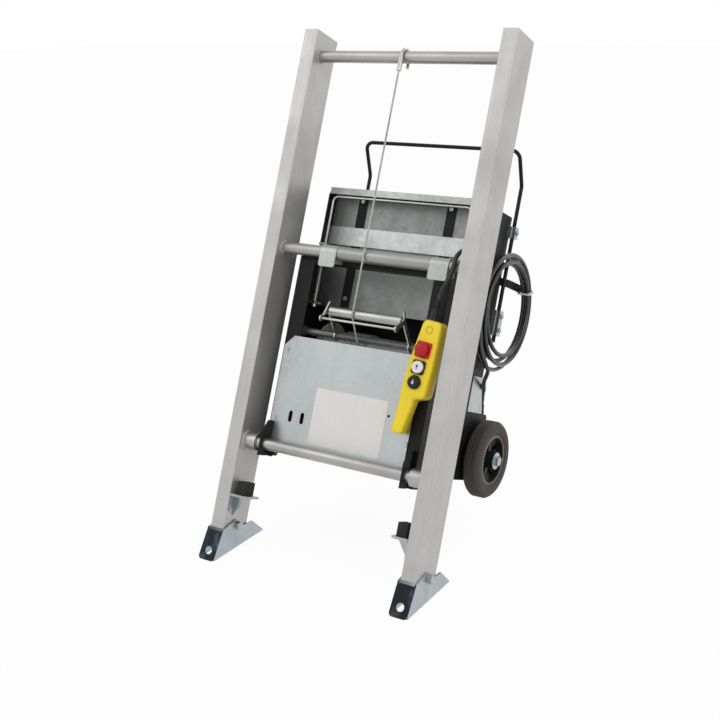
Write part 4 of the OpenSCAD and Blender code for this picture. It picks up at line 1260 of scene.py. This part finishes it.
@dataclass
class Pendant:
    """The hand control: its moulded body, boot, bezels and buttons."""

    ladder: Ladder
    tilt: float = 6.0
    depth: float = 50.0
    rounding: float = 8.0
    outline: tuple[tuple[float, float, float], ...] = (
        (-23, 0, 14), (24.5, 0, 13), (32.5, -112, 40), (32.5, -180, 13), (5, -189, 8),
        (-4.5, -276, 9), (-32.5, -276, 9), (-32.5, -112, 40),
    )  # fmt: skip
    grip_from: float = -172.0
    grip_to: float = -200.0
    grip_thin: float = 0.68
    grip_cuts: int = 8
    tip_lip: float = 1.5
    tip_slant: float = 1.0
    tip_deep: float = 5.0
    boot_l: float = 52.0
    boot_side: float = 11.0
    boot_r: float = 13.0
    neck_r: float = 7.5
    boot_ribs: tuple[float, ...] = (30.0, 37.0, 44.0)
    hang: Point = (209.0, 28.0, 649.0)
    ring_down: float = 23.0
    estop_down: float = 71.0
    up_down: float = 113.0
    down_down: float = 149.0
    button_r: float = 14.45
    button_low: float = 4.3
    button_high: float = 11.3
    estop_r: float = 16.5
    estop_low: float = 10.3
    estop_high: float = 21.0
    stem_r: float = 8.9
    plate: float = 38.0
    plate_h: float = 6.0
    plate_edge: float = 1.2
    bezel_w: float = 2.0
    bore_play: float = 0.1
    stem_play: float = 0.15
    ring_shape: tuple[Point, ...] = ((7.4, -0.2), (7.8, 0.9), (8.6, 0.9), (9.0, -0.2))
    arrow_shape: tuple[Point, ...] = ((-1.3, -5), (1.3, -5), (1.3, 1), (4.2, 1), (0, 6), (-4.2, 1), (-1.3, 1))
    arrow_sunk: float = 0.8
    arrow_proud: float = 0.12

    def __post_init__(self) -> None:
        """Works out the pendant's own frame from the cable's first point."""
        turn = Matrix.Rotation(math.radians(self.tilt), 4, "Y")
        drop = turn @ Vector((self.boot_side, 0, -self.boot_l))
        self.frame = self.ladder.matrix @ Matrix.Translation(Vector(self.hang) + drop) @ turn

    def front(self, down: float) -> Matrix:
        """The frame on the front face at a distance below the top, with Z outwards."""
        return self.frame @ Matrix.Translation((0, -self.depth / 2, -down)) @ Matrix.Rotation(math.pi / 2, 4, "X")

    def build(self) -> None:
        """Makes all the pendant's pieces."""
        self.body()
        self.boot()
        self.bezels()
        self.buttons()

    def body(self) -> None:
        """Moulds the body with its grip in one piece."""
        form = Form()
        bm = form.bm
        form.prism([(x, -self.depth / 2, z) for x, z in round_off(self.outline)], (0, self.depth, 0))
        form.soften(self.rounding, segments=6, above=60)
        span = self.grip_to - self.grip_from
        for i in range(self.grip_cuts + 1):
            place = (0, 0, self.grip_from + span * i / self.grip_cuts)
            bmesh.ops.bisect_plane(bm, geom=[*bm.verts, *bm.edges, *bm.faces], plane_co=place, plane_no=(0, 0, 1))
        for v in bm.verts:
            share = min(1.0, max(0.0, (v.co.z - self.grip_from) / span))
            v.co.y *= 1 - (1 - self.grip_thin) * share * share * (3 - 2 * share)
        self.hollow_tip(form)
        ride(form.piece("pendant_shell", self.frame, 60), Body.FRAME, YELLOW_PLASTIC, "pendant_body")

    def hollow_tip(self, form: Form) -> None:
        """Sinks a recess into the grip's end.

        Args:
            form: The body's mesh.
        """
        tip = min(form.bm.faces, key=lambda f: f.calc_center_median().z)
        for inset, sunk in ((self.tip_lip, 0.0), (self.tip_slant, self.tip_deep)):
            bmesh.ops.inset_region(form.bm, faces=[tip], thickness=inset, depth=-sunk)

    def boot(self) -> None:
        """Turns the cable boot with its ribs."""
        r, neck, long = self.boot_r, self.neck_r, self.boot_l
        outline: list[Point] = [(0, 0), (r, 0), (r, 1.5), (r - 1.0, 6), (neck + 2.2, 26)]
        for low in self.boot_ribs:
            outline += [(neck + 0.8, low - 1), (neck + 2.0, low), (neck + 2.0, low + 3), (neck + 0.6, low + 4)]
        outline += [(neck, long - 1), (neck - 1, long), (0, long)]
        frame = self.frame @ Matrix.Translation((-self.boot_side, 0, 0))
        ride(turned("cable_boot", outline, frame, 48, sharp=50), Body.FRAME, BLACK_PLASTIC, "pendant_boot")

    def bezels(self) -> None:
        """Makes the buttons' bezels and the raised ring."""
        stem, bore = self.stem_r + self.stem_play, self.button_r + self.bore_play
        rim = self.button_r + self.bezel_w
        self.bezel("estop_bezel", self.estop_down, stem, self.plate / 2, 9.0, RED_PLASTIC, "button_plates")
        self.bezel("up_bezel", self.up_down, bore, rim, 7.0, BLACK_PLASTIC)
        self.bezel("down_bezel", self.down_down, bore, rim, 2.0, BLACK_PLASTIC)
        ring = turned("raised_ring", self.ring_shape, self.front(self.ring_down), 48, True)
        ride(ring, Body.FRAME, OCHRE_PLASTIC)

    def bezel(
        self, name: str, down: float, inner: float, outer: float, square: float, finish: Finish, *stands_for: str
    ) -> None:
        """Makes one bezel round a bore.

        Args:
            name: The piece's name.
            down: Its distance below the pendant's top.
            inner: The bore's radius.
            outer: Half of its width.
            square: Power of its outline: 2 is round, and more is squarer.
            finish: Its finish.
            stands_for: Nodes that it replaces.
        """
        high, edge = self.plate_h, self.plate_edge
        ring = Form()
        outline = [(inner, 0), (outer, 0), (outer, high - edge), (outer - edge, high), (inner, high)]
        ring.lathe(outline, 96, closed=True)
        for v in ring.bm.verts:
            radius = v.co.xy.length
            if radius > inner + 0.01:
                even = (abs(v.co.x / radius) ** square + abs(v.co.y / radius) ** square) ** (-1 / square)
                v.co.x, v.co.y = v.co.x * even, v.co.y * even
        ride(ring.piece(name, self.front(down)), Body.FRAME, finish, *stands_for)

    def buttons(self) -> None:
        """Turns the three buttons."""
        low, high, r = self.button_low, self.button_high, self.button_r
        cap: list[Point] = [(0, low), (r, low), (r, high - 1.8), (r - 0.6, high - 0.6), (r - 2, high - 0.2)]
        cap += [(r * 0.6, high - 0.05), (0, high)]
        for name, down, body, finish, mark, way in (
            ("up", self.up_down, Body.UP, WHITE_PLASTIC, BLACK_PLASTIC, 1),
            ("down", self.down_down, Body.DOWN, BLACK_PLASTIC, WHITE_PLASTIC, -1),
        ):
            frame = self.front(down)
            ride(turned(name + "_cap", cap, frame), body, finish, name + "_button")
            ride(self.arrow(name + "_arrow", frame, way), body, mark)
        self.mushroom()

    def arrow(self, name: str, frame: Matrix, way: int) -> bpy.types.Object:
        """Lays a plain arrow on a button.

        Args:
            name: The piece's name.
            frame: The button's frame.
            way: 1 to point up the pendant and -1 down.

        Returns:
            The object.
        """
        low, high = self.button_high - self.arrow_sunk, self.button_high + self.arrow_proud
        mark = Form()
        mark.prism([(x * way, y * way, low) for x, y in self.arrow_shape], (0, 0, high - low))
        return mark.piece(name, frame)

    def mushroom(self) -> None:
        """Turns the stop button."""
        r, low, stem = self.estop_r, self.estop_low, self.stem_r
        head: list[Point] = [(0, self.button_low), (stem, self.button_low), (stem, low), (r - 1, low), (r, low + 1)]
        head += [(r, 14.5), (r - 0.9, 16.8), (r - 3.5, 18.8), (10, 20.4), (0, self.estop_high)]
        button = turned("estop_mushroom", head, self.front(self.estop_down), 72)
        ride(button, Body.ESTOP, RED_PLASTIC, "estop_button")


@dataclass
class Sheets:
    """Fine pieces on the ladder and the sheets: label, weld beads, sleeve, latches, bolts and the coil's tie."""

    ladder: Ladder
    label_low: Point = (-93.0, 252.0)
    label_high: Point = (113.0, 393.0)
    label_t: float = 0.4
    label_corner: float = 4.0
    bead_r: float = 2.6
    bead_sunk: float = 2.0
    bead_waves: int = 26
    bead_swell: float = 0.02
    bead_ripple: float = 0.25
    sleeve_from: float = -88.5
    sleeve_to: float = 171.5
    sleeve_r: float = 17.4
    sleeve_edge: float = 0.8
    slot_h: float = 30.4
    latch_t: float = 6.0
    latch_set_back: float = 0.1
    latch_play: float = 0.15
    clamp_bolts: tuple[float, ...] = (622.0, 657.0, 875.0)
    bolt_y: float = 331.0
    bolt_r: float = 6.5
    bolt_h: float = 4.5
    bolt_edge: float = 0.7
    tie_x: tuple[float, float] = (226.4, 261.6)
    tie_radii: tuple[float, float] = (127.2, 153.8)
    tie_t: float = 1.3
    tie_w: float = 5.0
    tie_corner: float = 5.0
    tie_head: Point = (5.0, 7.0, 7.0)
    tie_tail: Point = (1.3, 4.0, 16.0)

    def build(self) -> None:
        """Makes all these pieces."""
        self.label()
        for name in ("lower", "middle", "upper"):
            self.welds(name)
        self.sleeve()
        self.latches()
        self.bolts()
        self.tie()

    def label(self) -> None:
        """Lays a blank label on the front cover."""
        face = self.ladder.span("front_cover")[0].y
        (x0, z0), (x1, z1) = self.label_low, self.label_high
        form = Form()
        form.block((x1 - x0, self.label_t, z1 - z0), ((x0 + x1) / 2, face - self.label_t / 2, (z0 + z1) / 2))

        def stands(edge: bmesh.types.BMEdge) -> bool:
            """Whether an edge runs through the film's thickness."""
            return abs(edge.verts[0].co.y - edge.verts[1].co.y) > self.label_t / 2

        form.soften(self.label_corner, segments=4, above=20, pick=stands)
        ride(form.piece("cover_label", self.ladder.matrix), Body.FRAME, LABEL_FILM)

    def welds(self, name: str) -> None:
        """Runs a weld bead round each end of a rung.

        Args:
            name: Which rung: lower, middle or upper.
        """
        low, high = self.ladder.span(name + "_rung")
        middle, radius = (low + high) / 2, (high.z - low.z) / 2
        beads = Form()
        for facing, x in ((Facing.RIGHT, low.x), (Facing.LEFT, high.x)):
            ring = Form()
            profile = arc((radius, 0), self.bead_r, -30, 120, 5) + [(radius - self.bead_sunk, 0)]
            ring.lathe(profile, 4 * self.bead_waves, closed=True)
            for v in ring.bm.verts:
                wave = math.sin(self.bead_waves * math.atan2(v.co.y, v.co.x))
                swell, ripple = 1 + self.bead_swell * wave, 1 + self.bead_ripple * wave
                v.co = Vector((v.co.x * swell, v.co.y * swell, v.co.z * ripple))
            beads.take(ring, Matrix.Translation((x, middle.y, middle.z)) @ facing.turn)
        ride(beads.piece(name + "_welds", self.ladder.matrix, 60), Body.FRAME, WELD_METAL)

    def sleeve(self) -> None:
        """Slips a sleeve on the middle rung between the hooks."""
        low, high = self.ladder.span("middle_rung")
        middle, long = (low + high) / 2, self.sleeve_to - self.sleeve_from
        r, edge = self.sleeve_r, self.sleeve_edge
        outline = [(RUNG_R, 0), (r - edge, 0), (r, edge), (r, long - edge), (r - edge, long), (RUNG_R, long)]
        frame = self.ladder.facing((self.sleeve_from, middle.y, middle.z), Facing.RIGHT)
        ride(turned("rung_sleeve", outline, frame), Body.FRAME, SLEEVE_METAL)

    def latches(self) -> None:
        """Closes the forks' slots in front of the lower rung."""
        low, high = self.ladder.span("lower_rung")
        middle = (low + high) / 2
        fork_low, fork_high = self.ladder.span("rung_forks")
        front, half = fork_low.y + self.latch_set_back, self.slot_h / 2
        round_part = arc((middle.y, middle.z), RUNG_R + self.latch_play, 100, 260, 24)
        ends = [(round_part[0][0], middle.z + half), (round_part[-1][0], middle.z - half)]
        outline = [(front, middle.z - half), (front, middle.z + half), ends[0], *round_part, ends[1]]
        pair = Form()
        for x in (fork_high.x - self.latch_t, fork_low.x):
            plate = Form()
            plate.prism([(x, y, z) for y, z in outline], (self.latch_t, 0, 0))
            pair.take(plate)
        ride(pair.piece("rung_latches", self.ladder.matrix), Body.FRAME, BLACK_PAINT)

    def bolts(self) -> None:
        """Screws hexagon heads into the handle's clamps."""
        low, high = self.ladder.span("handle_clamps")
        heads = Form()
        for x, turn in ((high.x, math.pi / 2), (low.x, -math.pi / 2)):
            for z in self.clamp_bolts:
                head = Form()
                head.bar(self.bolt_r, self.bolt_h, 6)
                head.soften(self.bolt_edge, segments=2, above=50)
                heads.take(head, Matrix.Translation((x, self.bolt_y, z)) @ Matrix.Rotation(turn, 4, "Y"))
        ride(heads.piece("clamp_bolt_heads", self.ladder.matrix), Body.FRAME, PLATE_ZINC)

    def tie(self) -> None:
        """Ties the coil to its arm."""
        (x0, x1), (r0, r1), t, side = self.tie_x, self.tie_radii, self.tie_t, -self.tie_w / 2
        rings = []
        for i in (0.0, t):
            corners = ((x0 + i, r0 + i), (x1 - i, r0 + i), (x1 - i, r1 - i), (x0 + i, r1 - i))
            rings.append([(x, side, r) for x, r in round_off([(*c, self.tie_corner - i) for c in corners])])
        form = Form()
        form.prism(rings[0], (0, self.tie_w, 0), rings[1])
        form.block(self.tie_head, (x1 + 2, 0, r1 - 8))
        form.block(self.tie_tail, (x1 + 2.6, 0, r1 - 18))
        turn = Matrix.Rotation(math.radians(COIL_TIE_ANGLE - 90), 4, "X")
        frame = self.ladder.matrix @ Matrix.Translation((0, *COIL_MIDDLE)) @ turn
        ride(form.piece("coil_tie", frame), Body.FRAME, WHITE_PLASTIC)


NODE_FINISHES: dict[Finish, tuple[str, ...]] = {
    ALUMINIUM: ("rail_left", "rail_right"),
    RUNG_METAL: ("lower_rung", "middle_rung", "upper_rung"),
    PLATE_ZINC: (
        "stop_brackets", "stop_bolts", "foot_bolts", "panel_bolts",
        "bail_guides", "handle_clamps", "axle", "hub_nuts",
    ),
    FOOT_ZINC: ("foot_left", "foot_right"),
    PAD_RUBBER: ("stop_pads",),
    BLACK_PAINT: (
        "upright_left", "upright_right", "rung_forks", "hook_rail", "side_panel_left", "side_panel_right",
        "rear_panel", "lid_straps", "rear_housing", "handle", "coil_arm",
    ),
    COVER_ZINC: ("front_cover", "terminal_cover"),
    HOOK_ZINC: ("rung_hooks",),
    LID_ZINC: ("lid",),
    BAND_ZINC: ("cross_band",),
    INNER_ZINC: ("inner_panel",),
    DARK_STEEL: ("cross_shaft", "drum_shaft"),
    MACHINE_PAINT: ("motor", "gearbox", "drum_bearings"),
    BRIGHT_STEEL: ("slack_arm", "guide_roller", "limit_bail", "rope_hook"),
    DRUM_STEEL: ("drum",),
    WHEEL_PLASTIC: ("wheel_left", "wheel_right"),
    TYRE_RUBBER: ("tyre_left", "tyre_right"),
    BLACK_PLASTIC: ("cable_gland", "pendant_boot", "button_plates", "down_button"),
    YELLOW_PLASTIC: ("pendant_body",),
    RED_PLASTIC: ("estop_button",),
    WHITE_PLASTIC: ("up_button",),
}  # fmt: skip


def dress_nodes(nodes: dict[str, bpy.types.Object]) -> None:
    """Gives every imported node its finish.

    Args:
        nodes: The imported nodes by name.
    """
    for finish, names in NODE_FINISHES.items():
        for name in names:
            mesh = nodes[name].data
            mesh.materials.clear()
            mesh.materials.append(finish.material())


def main() -> None:
    """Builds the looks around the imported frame."""
    logging.basicConfig(level=logging.INFO, format="%(message)s")
    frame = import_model()
    ladder = Ladder(frame)
    Studio().build()
    ControlCable(ladder).build()
    WireRope(ladder).build()
    WinchWorks(ladder).build()
    Transport(ladder).build()
    Pendant(ladder).build()
    Sheets(ladder).build()
    dress_nodes(frame["nodes"])


if __name__ == "__main__":
    main()
